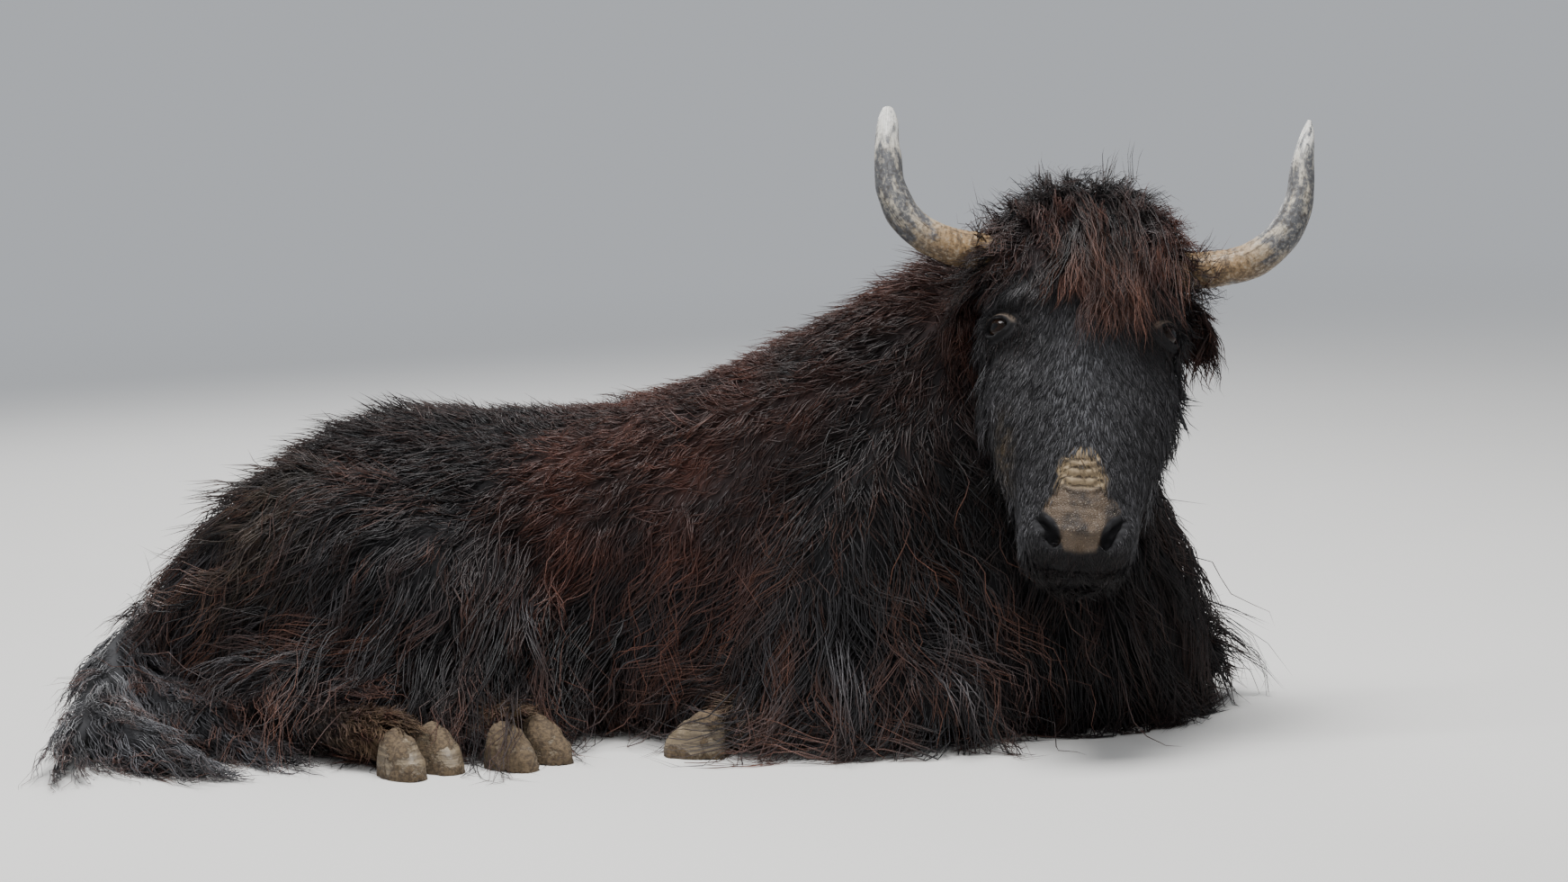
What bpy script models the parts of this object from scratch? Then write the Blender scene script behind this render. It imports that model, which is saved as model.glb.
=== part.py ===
"""Life-size still model of a domestic yak lying on its chest with its head turned.

The animal's own frame is used throughout: +X runs along the back towards the
withers, +Y is its left side and +Z is up, with the floor at Z = 0. Sizes are
in metres. The whole model is moved at the end, so that its origin lies under
the middle of its bounding box.
"""
import math
import random

import bpy
import bmesh
import numpy as np
from mathutils import Matrix, Vector
from mathutils.bvhtree import BVHTree

# Driving dimensions
SHORT_COAT = 0.010
FACE_COAT = 0.006
GAP = 0.0004
BELOW_FLOOR = 0.030
TORSO_SIDES, NECK_SIDES, HEAD_SIDES, LIMB_SIDES, HORN_SIDES = 22, 16, 18, 10, 12
CREASE = math.radians(40)
DOWN = Vector((0.0, 0.0, -1.0))

# Locks: seed, depth of the root, room kept to the floor and to the claws, and
# how the shares of length, lift and width go from root to tip
SEED = 8
ROOT_DEPTH = 0.020
LOCK_CLEARANCE = 0.009
CLAW_ROOM = 0.055
FLOOR_LAY, FLOOR_STRIDE, FLOOR_PUSH, FALL_SHARE = 0.035, 0.6, 0.7, 1.22
SKIRT_LIFT, LOCK_HALF_THICKNESS = 0.044, 0.0060
LENGTH_SPREAD, WIDTH_SPREAD, LIFT_SPREAD = (0.88, 1.14), (0.86, 1.12), (0.75, 1.25)
LOCK_STEPS = ((0.18, 0.34), (0.32, 0.60), (0.28, 0.84), (0.22, 0.92))
LOCK_WIDTHS = (0.74, 0.98, 0.90, 0.52)
LOCK_SHRINKS = (1.0, 0.85, 0.7, 0.55)
LOCK_TWIST, LEAST_STEP, MOST_BEND = 0.5, 0.012, math.radians(50)
LAID_OVER = 0.11
DRAPED = ("torso", "neck", "head", "tail", "hindleg_right", "hindleg_left",
          "hindfoot_left", "foreleg_right", "foreleg_left")
SKIRTED = ("torso", "neck", "hindleg_right", "hindleg_left", "foreleg_right",
           "foreleg_left")

# The head's place: the poll, and the way the face looks
POLL = Vector((0.765, -0.130, 0.684))
FACE_TURN, FACE_LIFT, FACE_ROLL = (math.radians(a) for a in (-63.6, 27.6, 6.1))

# Features in the head's frame: half axes run along, across and out of the lids
EYE_RADIUS = 0.0195
EYE_ASIDE, EYE_ALONG, EYE_OUT = 0.099, 0.148, -0.050
GAZE_ASIDE, GAZE_OUT = 0.80, 0.60
LID_AXES, LID_OPENING_AXES = (0.0275, 0.034, 0.0255), (0.0125, 0.0205, 0.040)
LID_OPENING_OUT = 0.018
NOSTRIL_ASIDE, NOSTRIL_ALONG, NOSTRIL_OUT = 0.043, 0.418, -0.008
NOSTRIL_AXES, NOSTRIL_SLANT = (0.023, 0.0105, 0.026), (0.50, -0.86)
UPPER_LIP, UPPER_LIP_AXES = (0.0, 0.428, -0.050), (0.073, 0.030, 0.050)
LOWER_LIP, LOWER_LIP_AXES = (0.0, 0.446, -0.082), (0.056, 0.032, 0.036)

# Mouth: an arc-shaped slot from the chin back along both cheeks
MOUTH_FRONT, MOUTH_BACK = (0.0, 0.490, -0.040), (0.0, 0.365, -0.098)
MOUTH_CENTRE, MOUTH_RUN, MOUTH_HALF_WIDTH = 0.105, 0.085, 0.078
MOUTH_OUTER, MOUTH_INNER, MOUTH_SLOT = -0.010, 0.024, 0.0022
MOUTH_TURNS = range(-108, 109, 18)

# Colours: near-black coat with rusty ends, grey-brown horn, mud-pale claws
COAT_COLOUR = (0.020, 0.016, 0.015, 1.0)
TAIL_COLOUR = (0.034, 0.026, 0.024, 1.0)
HORN_COLOUR = (0.34, 0.29, 0.22, 1.0)
CLAW_COLOUR = (0.30, 0.23, 0.15, 1.0)
EYE_COLOUR = (0.012, 0.008, 0.006, 1.0)

# Torso stations: x, y, top, level of greatest width, half width
TORSO = (
    (-0.710, -0.02, 0.100, 0.060, 0.040),
    (-0.690, -0.02, 0.135, 0.080, 0.110),
    (-0.640, -0.02, 0.190, 0.100, 0.175),
    (-0.570, -0.01, 0.262, 0.120, 0.215),
    (-0.480, 0.00, 0.345, 0.140, 0.245),
    (-0.390, 0.00, 0.392, 0.155, 0.260),
    (-0.290, 0.00, 0.408, 0.165, 0.260),
    (-0.160, 0.00, 0.410, 0.165, 0.258),
    (-0.020, 0.00, 0.422, 0.170, 0.262),
    (0.120, 0.00, 0.452, 0.175, 0.268),
    (0.250, 0.00, 0.498, 0.190, 0.266),
    (0.360, 0.00, 0.546, 0.205, 0.255),
    (0.460, 0.00, 0.596, 0.225, 0.238),
    (0.545, 0.00, 0.620, 0.245, 0.214),
    (0.620, 0.00, 0.575, 0.235, 0.190),
    (0.680, 0.01, 0.470, 0.215, 0.172),
    (0.735, 0.02, 0.360, 0.185, 0.148),
    (0.780, 0.03, 0.265, 0.150, 0.112),
    (0.802, 0.03, 0.200, 0.120, 0.055),
)

# Head stations: distance down the face from the poll, half width, front, back
HEAD = (
    (-0.044, 0.035, -0.050, -0.090),
    (-0.030, 0.068, -0.024, -0.122),
    (0.005, 0.098, -0.008, -0.152),
    (0.055, 0.115, 0.000, -0.172),
    (0.110, 0.121, 0.000, -0.190),
    (0.165, 0.122, -0.004, -0.202),
    (0.220, 0.122, -0.006, -0.200),
    (0.275, 0.114, -0.006, -0.182),
    (0.330, 0.097, -0.005, -0.155),
    (0.380, 0.080, -0.003, -0.132),
    (0.420, 0.075, -0.003, -0.117),
    (0.448, 0.067, -0.011, -0.108),
    (0.466, 0.048, -0.026, -0.094),
    (0.473, 0.020, -0.044, -0.076),
)

# Neck stations: x, y, z, heading in degrees, half width, rise, drop
NECK = (
    (0.450, 0.000, 0.390, 0.0, 0.150, 0.190, 0.250),
    (0.560, 0.000, 0.420, 0.0, 0.150, 0.185, 0.270),
    (0.650, -0.020, 0.455, -10.0, 0.142, 0.175, 0.280),
    (0.710, -0.060, 0.480, -22.0, 0.125, 0.162, 0.250),
    (0.745, -0.090, 0.500, -30.0, 0.100, 0.145, 0.200),
)

# Limb paths: x, y, z, radius
THIGH_RIGHT = (
    (-0.560, -0.110, 0.150, 0.090), (-0.440, -0.140, 0.185, 0.150),
    (-0.290, -0.170, 0.190, 0.165), (-0.130, -0.215, 0.165, 0.130),
    (-0.030, -0.250, 0.130, 0.080),
)
SHIN_RIGHT = (
    (-0.040, -0.262, 0.100, 0.070), (-0.200, -0.310, 0.080, 0.062),
    (-0.365, -0.352, 0.062, 0.050), (-0.395, -0.372, 0.055, 0.032),
)
CANNON_HIND_RIGHT = (
    (-0.390, -0.368, 0.052, 0.036), (-0.290, -0.420, 0.047, 0.032),
    (-0.195, -0.455, 0.046, 0.033), (-0.130, -0.470, 0.044, 0.036),
    (-0.098, -0.473, 0.040, 0.030),
)
THIGH_LEFT = (
    (-0.560, 0.100, 0.150, 0.085), (-0.440, 0.140, 0.175, 0.145),
    (-0.290, 0.170, 0.175, 0.158), (-0.130, 0.215, 0.150, 0.125),
    (-0.030, 0.240, 0.120, 0.078),
)
SHIN_LEFT = (
    (-0.030, 0.235, 0.085, 0.072), (-0.180, 0.255, 0.070, 0.062),
    (-0.340, 0.245, 0.060, 0.050), (-0.370, 0.235, 0.052, 0.032),
)
FOOT_HIND_LEFT = (
    (-0.110, -0.230, 0.045, 0.034), (-0.060, -0.310, 0.045, 0.033),
    (-0.012, -0.372, 0.046, 0.037), (0.018, -0.400, 0.044, 0.031),
)
ARM_RIGHT = (
    (0.530, -0.120, 0.400, 0.090), (0.480, -0.150, 0.300, 0.118),
    (0.400, -0.190, 0.205, 0.108), (0.350, -0.215, 0.135, 0.080),
)
FOREARM_RIGHT = (
    (0.310, -0.230, 0.105, 0.060), (0.430, -0.232, 0.092, 0.058),
    (0.545, -0.222, 0.070, 0.048), (0.590, -0.218, 0.060, 0.040),
)
CANNON_FORE_RIGHT = (
    (0.585, -0.222, 0.050, 0.034), (0.480, -0.258, 0.042, 0.030),
    (0.385, -0.285, 0.042, 0.032), (0.335, -0.294, 0.042, 0.034),
    (0.312, -0.296, 0.040, 0.028),
)
ARM_LEFT = (
    (0.540, 0.110, 0.400, 0.090), (0.520, 0.140, 0.300, 0.116),
    (0.470, 0.175, 0.205, 0.106), (0.440, 0.198, 0.135, 0.080),
)
FOREARM_LEFT = (
    (0.430, 0.220, 0.105, 0.060), (0.580, 0.205, 0.095, 0.060),
    (0.730, 0.170, 0.072, 0.050), (0.795, 0.145, 0.060, 0.042),
)
CANNON_FORE_LEFT = (
    (0.790, 0.155, 0.048, 0.034), (0.690, 0.205, 0.042, 0.030),
    (0.605, 0.240, 0.042, 0.032), (0.560, 0.260, 0.042, 0.034),
    (0.538, 0.269, 0.040, 0.028),
)
DOCK = (
    (-0.630, -0.010, 0.150, 0.052), (-0.690, -0.110, 0.110, 0.052),
    (-0.685, -0.230, 0.078, 0.050), (-0.625, -0.370, 0.056, 0.044),
    (-0.565, -0.510, 0.042, 0.034), (-0.530, -0.610, 0.032, 0.020),
)

BRUSH_NEAR = (
    (-0.660, -0.200, 0.045, 0.052), (-0.540, -0.330, 0.034, 0.056),
    (-0.410, -0.430, 0.022, 0.046), (-0.290, -0.490, 0.012, 0.028),
)
BRUSH_FAR = (
    (-0.620, -0.380, 0.040, 0.050), (-0.530, -0.480, 0.030, 0.054),
    (-0.420, -0.550, 0.020, 0.044), (-0.330, -0.580, 0.010, 0.026),
)

# Rows of the skirt: height, first and last x, spacing, length, half width
SKIRT_ROWS = (
    (0.090, -0.470, -0.170, 0.095, 0.110, 0.042),
    (0.090, 0.340, 0.620, 0.095, 0.110, 0.042),
    (0.140, -0.600, 0.700, 0.100, 0.170, 0.047),
    (0.235, -0.580, 0.660, 0.100, 0.270, 0.048),
    (0.325, -0.520, -0.100, 0.100, 0.300, 0.048),
    (0.345, 0.290, 0.640, 0.098, 0.320, 0.048),
)
CHEST_ROWS = ((0.200, 0.200, 0.110), (0.350, 0.240, 0.120))

# Claws: node, heel, toe, half width, height
CLAWS = (
    ("claw_hind_right_outer", (-0.096, -0.500, 0.0), (-0.026, -0.548, 0.0), 0.0270, 0.060),
    ("claw_hind_right_inner", (-0.068, -0.456, 0.0), (0.004, -0.500, 0.0), 0.0270, 0.060),
    ("claw_hind_left_outer", (0.022, -0.430, 0.0), (0.096, -0.466, 0.0), 0.0260, 0.060),
    ("claw_hind_left_inner", (0.046, -0.384, 0.0), (0.120, -0.412, 0.0), 0.0260, 0.060),
    ("claw_fore_right_outer", (0.308, -0.326, 0.0), (0.222, -0.336, 0.0), 0.0250, 0.062),
    ("claw_fore_right_inner", (0.305, -0.272, 0.0), (0.219, -0.272, 0.0), 0.0250, 0.062),
    ("claw_fore_left_outer", (0.552, 0.294, 0.0), (0.484, 0.342, 0.0), 0.0250, 0.060),
    ("claw_fore_left_inner", (0.524, 0.249, 0.0), (0.452, 0.292, 0.0), 0.0250, 0.060),
)
CLAW_PROFILE = ((0.00, 0.62, 0.60), (0.08, 0.88, 0.92), (0.30, 1.00, 1.00),
                (0.62, 0.90, 0.80), (0.88, 0.62, 0.48), (1.00, 0.26, 0.22))

# Horns in the head's frame: aside, along the face, out of it, radius
HORN_RIGHT = (
    (-0.080, 0.036, -0.075, 0.0260), (-0.140, 0.038, -0.055, 0.0245),
    (-0.195, 0.030, -0.040, 0.0228), (-0.232, 0.007, -0.026, 0.0215),
    (-0.252, -0.029, -0.016, 0.0195), (-0.259, -0.078, -0.010, 0.0165),
    (-0.260, -0.120, -0.014, 0.0130), (-0.260, -0.140, -0.018, 0.0075),
)
HORN_LEFT = (
    (0.080, 0.044, -0.075, 0.0260), (0.155, 0.050, -0.055, 0.0235),
    (0.212, 0.040, -0.040, 0.0228), (0.250, 0.011, -0.026, 0.0218),
    (0.270, -0.034, -0.016, 0.0188), (0.275, -0.088, -0.010, 0.0145),
    (0.281, -0.128, -0.014, 0.0085), (0.284, -0.150, -0.018, 0.0025),
)

# Ears in the head's frame: root, tip and the widest half width of the shell
EAR_ROOT = (0.108, 0.078, -0.110)
EAR_TIP = (0.176, 0.180, -0.112)
EAR_HALF_WIDTH = 0.034
EAR_THICKNESS = 0.006
EAR_DEPTH = 0.72
EAR_PROFILE = ((-0.24, 0.34), (0.0, 0.44), (0.18, 0.80), (0.40, 1.00),
               (0.64, 0.86), (0.84, 0.54), (0.96, 0.24))
EAR_TURNS = (-96, -64, -32, 0, 32, 64, 96)


def clear_scene():
    """Remove the objects the scene starts with."""
    for obj in list(bpy.data.objects):
        bpy.data.objects.remove(obj, do_unlink=True)


def new_collection(name, hidden=False):
    """A collection under the scene's own."""
    group = bpy.data.collections.new(name)
    group.hide_render = hidden
    bpy.context.scene.collection.children.link(group)
    return group


def finish_material(name, colour, roughness):
    """Principled material with one colour and roughness."""
    material = bpy.data.materials.new(name)
    material.use_nodes = True
    shader = material.node_tree.nodes["Principled BSDF"]
    shader.inputs["Base Color"].default_value = colour
    shader.inputs["Roughness"].default_value = roughness
    shader.inputs["Metallic"].default_value = 0.0
    return material


def face_frame():
    """Unit vectors to the animal's left, down the face and out of the face."""
    heading = Vector((math.cos(FACE_TURN), math.sin(FACE_TURN), 0.0))
    out = heading * math.cos(FACE_LIFT) - DOWN * math.sin(FACE_LIFT)
    rise = -heading * math.sin(FACE_LIFT) - DOWN * math.cos(FACE_LIFT)
    left = rise.cross(out)
    aside = left * math.cos(FACE_ROLL) - rise * math.sin(FACE_ROLL)
    along = -(rise * math.cos(FACE_ROLL) + left * math.sin(FACE_ROLL))
    return aside, along, out


ASIDE, ALONG, OUT = face_frame()


def face_point(aside, along, out):
    """World place of a point given in the head's frame."""
    return POLL + ASIDE * aside + ALONG * along + OUT * out


def face_path(points):
    """Turn rows of head-frame place and radius into world rows."""
    return [(*face_point(*row[:3]), row[3]) for row in points]


def smooth_path(rows, steps):
    """Catmull-Rom rows through the given ones, steps to each stretch."""
    ends = [rows[0], *rows, rows[-1]]
    path = []
    for first, second, third, fourth in zip(ends, ends[1:], ends[2:], ends[3:]):
        for step in range(steps):
            t = step / steps
            path.append(tuple(
                0.5 * (2 * b + (c - a) * t + (2 * a - 5 * b + 4 * c - d) * t ** 2
                       + (3 * b - a - 3 * c + d) * t ** 3)
                for a, b, c, d in zip(first, second, third, fourth)))
    return path + [tuple(rows[-1])]


def mesh_object(name, bm):
    """Object of a bmesh, with its faces split into triangles and turned out."""
    bmesh.ops.triangulate(bm, faces=bm.faces[:])
    bmesh.ops.recalc_face_normals(bm, faces=bm.faces[:])
    mesh = bpy.data.meshes.new(name)
    bm.to_mesh(mesh)
    bm.free()
    obj = bpy.data.objects.new(name, mesh)
    bpy.context.scene.collection.objects.link(obj)
    return obj


def applied(obj):
    """Bake an object's modifiers into a mesh of its own."""
    graph = bpy.context.evaluated_depsgraph_get()
    mesh = bpy.data.meshes.new_from_object(obj.evaluated_get(graph))
    obj.modifiers.clear()
    obj.data = mesh
    return obj


def rounded_ring(bm, centre, side, rise, half_width, up, low, power, sides):
    """Ring of vertices on a superellipse with its own rise and drop."""
    ring = []
    for step in range(sides):
        angle = 2 * math.pi * (step + 0.5) / sides
        across, height = math.cos(angle), math.sin(angle)
        across = math.copysign(abs(across) ** (2 / power), across)
        height = math.copysign(abs(height) ** (2 / power), height)
        ring.append(bm.verts.new(centre + side * half_width * across
                                 + rise * (up if height > 0 else low) * height))
    return ring


def bridge(bm, rings):
    """Close a row of rings into one body with a flat face at each end."""
    for first, second in zip(rings, rings[1:]):
        for step, corner in enumerate(first):
            after = (step + 1) % len(first)
            bm.faces.new((corner, first[after], second[after], second[step]))
    bm.faces.new(rings[0][::-1])
    bm.faces.new(rings[-1])


def torso_form():
    """Barrel of the body from the rump to the brisket, down past the floor."""
    bm = bmesh.new()
    rings = []
    for x, y, top, widest, half_width in TORSO:
        rings.append(rounded_ring(
            bm, Vector((x, y, widest)), Vector((0, 1, 0)), -DOWN,
            half_width, top - widest + SHORT_COAT, widest + BELOW_FLOOR, 2.35,
            TORSO_SIDES))
    bridge(bm, rings)
    return mesh_object("torso_form", bm)


def head_form(coat):
    """Skull and muzzle, wedge-shaped in section towards the jaw."""
    bm = bmesh.new()
    rings = []
    for along, half_width, front, back in HEAD:
        middle = front - 0.42 * (front - back)
        rings.append(rounded_ring(
            bm, face_point(0.0, along, middle), ASIDE, OUT, half_width + coat,
            front - middle + coat / 2, middle - back + coat, 2.3, HEAD_SIDES))
    bridge(bm, rings)
    return mesh_object("head_form", bm)


def neck_form():
    """Deep neck from between the shoulders to the back of the head."""
    bm = bmesh.new()
    rings = []
    for x, y, z, heading, half_width, rise, drop in smooth_path(NECK, 2):
        turn = math.radians(heading)
        side = Vector((-math.sin(turn), math.cos(turn), 0.0))
        rings.append(rounded_ring(bm, Vector((x, y, z)), side, -DOWN, half_width,
                                  rise + SHORT_COAT, drop, 2.2, NECK_SIDES))
    bridge(bm, rings)
    return mesh_object("neck_form", bm)


def rounded_ends(rows):
    """Rows with a dome of two smaller rings added beyond each end."""
    caps = []
    for end, inner in ((rows[0], rows[1]), (rows[-1], rows[-2])):
        outward = (Vector(end[:3]) - Vector(inner[:3])).normalized()
        caps.append([(*(Vector(end[:3]) + outward * end[3] * reach), end[3] * width)
                     for reach, width in ((0.55, 0.80), (0.85, 0.42))])
    return caps[0][::-1] + list(rows) + caps[1]


def tube(name, rows, sides=LIMB_SIDES):
    """Closed tube through rows of place and radius."""
    curve = bpy.data.curves.new(name, "CURVE")
    curve.dimensions = "3D"
    curve.bevel_depth = 1.0
    curve.bevel_resolution = (sides - 4) // 2
    curve.use_fill_caps = True
    spline = curve.splines.new("POLY")
    spline.points.add(len(rows) - 1)
    for point, (x, y, z, radius) in zip(spline.points, rows):
        point.co = (x, y, z, 1.0)
        point.radius = radius
    guide = bpy.data.objects.new(name + "_guide", curve)
    bpy.context.scene.collection.objects.link(guide)
    graph = bpy.context.evaluated_depsgraph_get()
    mesh = bpy.data.meshes.new_from_object(guide.evaluated_get(graph))
    bm = bmesh.new()
    bm.from_mesh(mesh)
    bmesh.ops.remove_doubles(bm, verts=bm.verts[:], dist=0.00001)
    bm.transform(guide.matrix_world)
    bpy.data.objects.remove(guide, do_unlink=True)
    bpy.data.meshes.remove(mesh)
    return mesh_object(name, bm)


def claw_form(name, heel, toe, half_width, height):
    """One claw: a rounded wedge that falls from heel to toe, flat below."""
    heel, toe = Vector(heel), Vector(toe)
    length = (toe - heel).length
    forward = (toe - heel).normalized()
    side = (-DOWN).cross(forward)
    bm = bmesh.new()
    rings = []
    for share, width, rise in CLAW_PROFILE:
        rings.append(rounded_ring(bm, heel + forward * length * share, side, -DOWN,
                                  half_width * width, height * rise, BELOW_FLOOR,
                                  2.4, 10))
    bridge(bm, rings)
    return mesh_object(name, bm)


def ear_form(name, sign):
    """Ear: a leaf-shaped shell, cupped to the front, thick at its root."""
    root = face_point(sign * EAR_ROOT[0], *EAR_ROOT[1:])
    tip = face_point(sign * EAR_TIP[0], *EAR_TIP[1:])
    along = (tip - root).normalized()
    length = (tip - root).length
    back = (OUT * -0.8 + ASIDE * sign * 0.6)
    back = (back - along * back.dot(along)).normalized()
    side = along.cross(back)
    spread = [math.radians(turn) for turn in EAR_TURNS]
    bm = bmesh.new()
    rings = []
    for share, width in EAR_PROFILE:
        reach = EAR_HALF_WIDTH * width
        wall = min(EAR_THICKNESS, reach * 0.8)
        if share <= 0.0:
            wall = reach * 0.8
        centre = root + along * length * share
        ring = []
        for scale, angles in ((reach, spread), (reach - wall, spread[::-1])):
            for angle in angles:
                ring.append(bm.verts.new(centre + side * scale * math.sin(angle)
                                         + back * scale * EAR_DEPTH * math.cos(angle)))
        rings.append(ring)
    bridge(bm, rings)
    return mesh_object(name, bm)


def ball(name, centre, axes, rings=8, segments=14):
    """Ellipsoid with three half axes, each a vector."""
    bm = bmesh.new()
    bmesh.ops.create_uvsphere(bm, u_segments=segments, v_segments=rings, radius=1.0)
    frame = Matrix((axes[0], axes[1], axes[2])).transposed().to_4x4()
    bm.transform(Matrix.Translation(centre) @ frame)
    return mesh_object(name, bm)


def eye_frame(sign):
    """Centre of an eye, and the ways down it, across it and out of it."""
    centre = face_point(sign * EYE_ASIDE, EYE_ALONG, EYE_OUT)
    gaze = (ASIDE * sign * GAZE_ASIDE + OUT * GAZE_OUT).normalized()
    along = (ALONG - gaze * ALONG.dot(gaze)).normalized()
    return centre, (along, gaze.cross(along), gaze)


def eye_form(name, sign):
    """Eyeball."""
    centre, frame = eye_frame(sign)
    return ball(name, centre, [way * EYE_RADIUS for way in frame])


def lid_form(sign):
    """Rounded swelling that carries both lids over the eyeball."""
    centre, frame = eye_frame(sign)
    return ball("lids", centre, [way * half for way, half in zip(frame, LID_AXES)], 8, 12)


def lid_opening(sign):
    """Almond-shaped cutter between the lids."""
    centre, frame = eye_frame(sign)
    axes = [way * half for way, half in zip(frame, LID_OPENING_AXES)]
    return ball("lid_opening", centre + frame[2] * LID_OPENING_OUT, axes, 6, 12)


def nostril_cutter(sign):
    """Comma-shaped hollow, slanting out and up."""
    centre = face_point(sign * NOSTRIL_ASIDE, NOSTRIL_ALONG, NOSTRIL_OUT)
    slant = (ASIDE * sign * NOSTRIL_SLANT[0] + ALONG * NOSTRIL_SLANT[1]).normalized()
    frame = (slant, OUT.cross(slant), OUT)
    axes = [way * half for way, half in zip(frame, NOSTRIL_AXES)]
    return ball("nostril", centre, axes, 6, 10)


def mouth_cutter():
    """Thin slot round the muzzle between the lips, open to the front."""
    front, back = face_point(*MOUTH_FRONT), face_point(*MOUTH_BACK)
    run = (back - front).normalized()
    centre = front + run * MOUTH_CENTRE
    lift = ASIDE.cross(run).normalized() * MOUTH_SLOT / 2
    bm = bmesh.new()
    rings = []
    for turn in MOUTH_TURNS:
        angle = math.radians(turn)
        ring = []
        for inset, rise in ((MOUTH_OUTER, 1), (MOUTH_INNER, 1), (MOUTH_INNER, -1),
                            (MOUTH_OUTER, -1)):
            ring.append(bm.verts.new(
                centre - run * (MOUTH_RUN + inset) * math.cos(angle)
                + ASIDE * (MOUTH_HALF_WIDTH + inset) * math.sin(angle) + lift * rise))
        rings.append(ring)
    bridge(bm, rings)
    return mesh_object("mouth_slot", bm)


def lip_form(name, place, axes):
    """Fleshy rim of one lip."""
    frame = (ASIDE, ALONG, OUT)
    axes = [way * half for way, half in zip(frame, axes)]
    return ball(name, face_point(*place), axes, 6, 14)


def boolean(base, operation, others):
    """Apply one Boolean of a collection of closed objects, then drop them."""
    group = new_collection("operands")
    for other in others:
        group.objects.link(other)
    cut = base.modifiers.new("cut", "BOOLEAN")
    cut.operation = operation
    cut.operand_type = "COLLECTION"
    cut.collection = group
    cut.solver = "MANIFOLD"
    applied(base)
    for other in list(group.objects):
        bpy.data.objects.remove(other, do_unlink=True)
    bpy.data.collections.remove(group)
    return base


def joined(pieces, cutters=()):
    """Fuse closed pieces into one body and take the cutters away from it."""
    base, *rest = pieces
    if rest:
        boolean(base, "UNION", rest)
    if cutters:
        boolean(base, "DIFFERENCE", list(cutters))
    return base


def outward_move(normals, distance):
    """Short move that takes a corner a distance out of each of its faces."""
    rows = np.array([tuple(normal) for normal in normals])
    move = np.linalg.pinv(rows, rcond=0.05) @ np.full(len(rows), distance)
    for _ in range(6):
        for row in rows:
            move = move + row * max(distance - row @ move, 0.0)
    return Vector(move)


def grown(obj, distance=GAP):
    """Copy of a closed object with every face moved out by a distance."""
    bm = bmesh.new()
    bm.from_mesh(obj.data)
    bm.normal_update()
    moves = [outward_move([face.normal for face in vert.link_faces], distance)
             for vert in bm.verts]
    for vert, move in zip(bm.verts, moves):
        vert.co += move
    return mesh_object(obj.name + "_grown", bm)


def copied(obj):
    """Plain copy of an object with its own mesh."""
    twin = bpy.data.objects.new(obj.name + "_copy", obj.data.copy())
    bpy.context.scene.collection.objects.link(twin)
    return twin


def floor_block():
    """Block under the floor, which every part that lies on it is cut by."""
    bm = bmesh.new()
    bmesh.ops.create_cube(bm, size=1.0)
    bm.transform(Matrix.Translation((0.0, 0.0, -0.5)) @ Matrix.Diagonal((4, 4, 1, 1)))
    return mesh_object("floor_block", bm)


def keep_largest(obj):
    """Keep only the largest closed surface of an object."""
    bm = bmesh.new()
    bm.from_mesh(obj.data)
    bmesh.ops.triangulate(bm, faces=bm.faces[:])
    seen, islands = set(), []
    for face in bm.faces:
        if face in seen:
            continue
        island, stack = [], [face]
        seen.add(face)
        while stack:
            current = stack.pop()
            island.append(current)
            for edge in current.edges:
                if not edge.is_manifold:
                    continue
                for neighbour in edge.link_faces:
                    if neighbour not in seen:
                        seen.add(neighbour)
                        stack.append(neighbour)
        islands.append(island)
    islands.sort(key=island_volume)
    for island in islands[:-1]:
        bmesh.ops.delete(bm, geom=island, context="FACES")
    bm.to_mesh(obj.data)
    bm.free()
    return obj


def island_volume(faces):
    """Volume that a closed set of triangles holds."""
    total = 0.0
    for face in faces:
        first, second, third = (vert.co for vert in face.verts)
        total += first.dot(second.cross(third)) / 6
    return total


def head_pieces(coat):
    """Pieces fused into the head, and the hollows cut in it."""
    pieces = [head_form(coat), lip_form("upper_lip", UPPER_LIP, UPPER_LIP_AXES),
              lip_form("lower_lip", LOWER_LIP, LOWER_LIP_AXES)]
    hollows = [mouth_cutter()]
    for sign in (-1, 1):
        pieces.append(lid_form(sign))
        hollows += [lid_opening(sign), nostril_cutter(sign)]
    return pieces, hollows


def limb_pieces(name, paths):
    """Tubes of one leg or tail."""
    return [tube(f"{name}_{index}", rounded_ends(smooth_path(path, 1)))
            for index, path in enumerate(paths)]


def body_plan():
    """Every node in order of precedence, with its pieces and its hollows."""
    plan = [(row[0], [claw_form(*row)], []) for row in CLAWS]
    for name, path in (("horn_right", HORN_RIGHT), ("horn_left", HORN_LEFT)):
        plan.append((name, [tube(name, smooth_path(face_path(path), 2), HORN_SIDES)], []))
    plan.append(("eye_right", [eye_form("eye_right", -1)], []))
    plan.append(("eye_left", [eye_form("eye_left", 1)], []))
    plan.append(("ear_right", [ear_form("ear_right", -1)], []))
    plan.append(("ear_left", [ear_form("ear_left", 1)], []))
    plan.append(("head", *head_pieces(FACE_COAT)))
    plan.append(("torso", [torso_form()], []))
    plan.append(("neck", [neck_form()], []))
    legs = (("hindleg_right", (THIGH_RIGHT, SHIN_RIGHT, CANNON_HIND_RIGHT)),
            ("hindfoot_left", (FOOT_HIND_LEFT,)),
            ("foreleg_right", (ARM_RIGHT, FOREARM_RIGHT, CANNON_FORE_RIGHT)),
            ("hindleg_left", (THIGH_LEFT, SHIN_LEFT)),
            ("foreleg_left", (ARM_LEFT, FOREARM_LEFT, CANNON_FORE_LEFT)))
    for name, paths in legs:
        plan.append((name, limb_pieces(name, paths), []))
    plan.append(("tail", limb_pieces("tail", (DOCK, BRUSH_NEAR, BRUSH_FAR)), []))
    return plan


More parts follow.
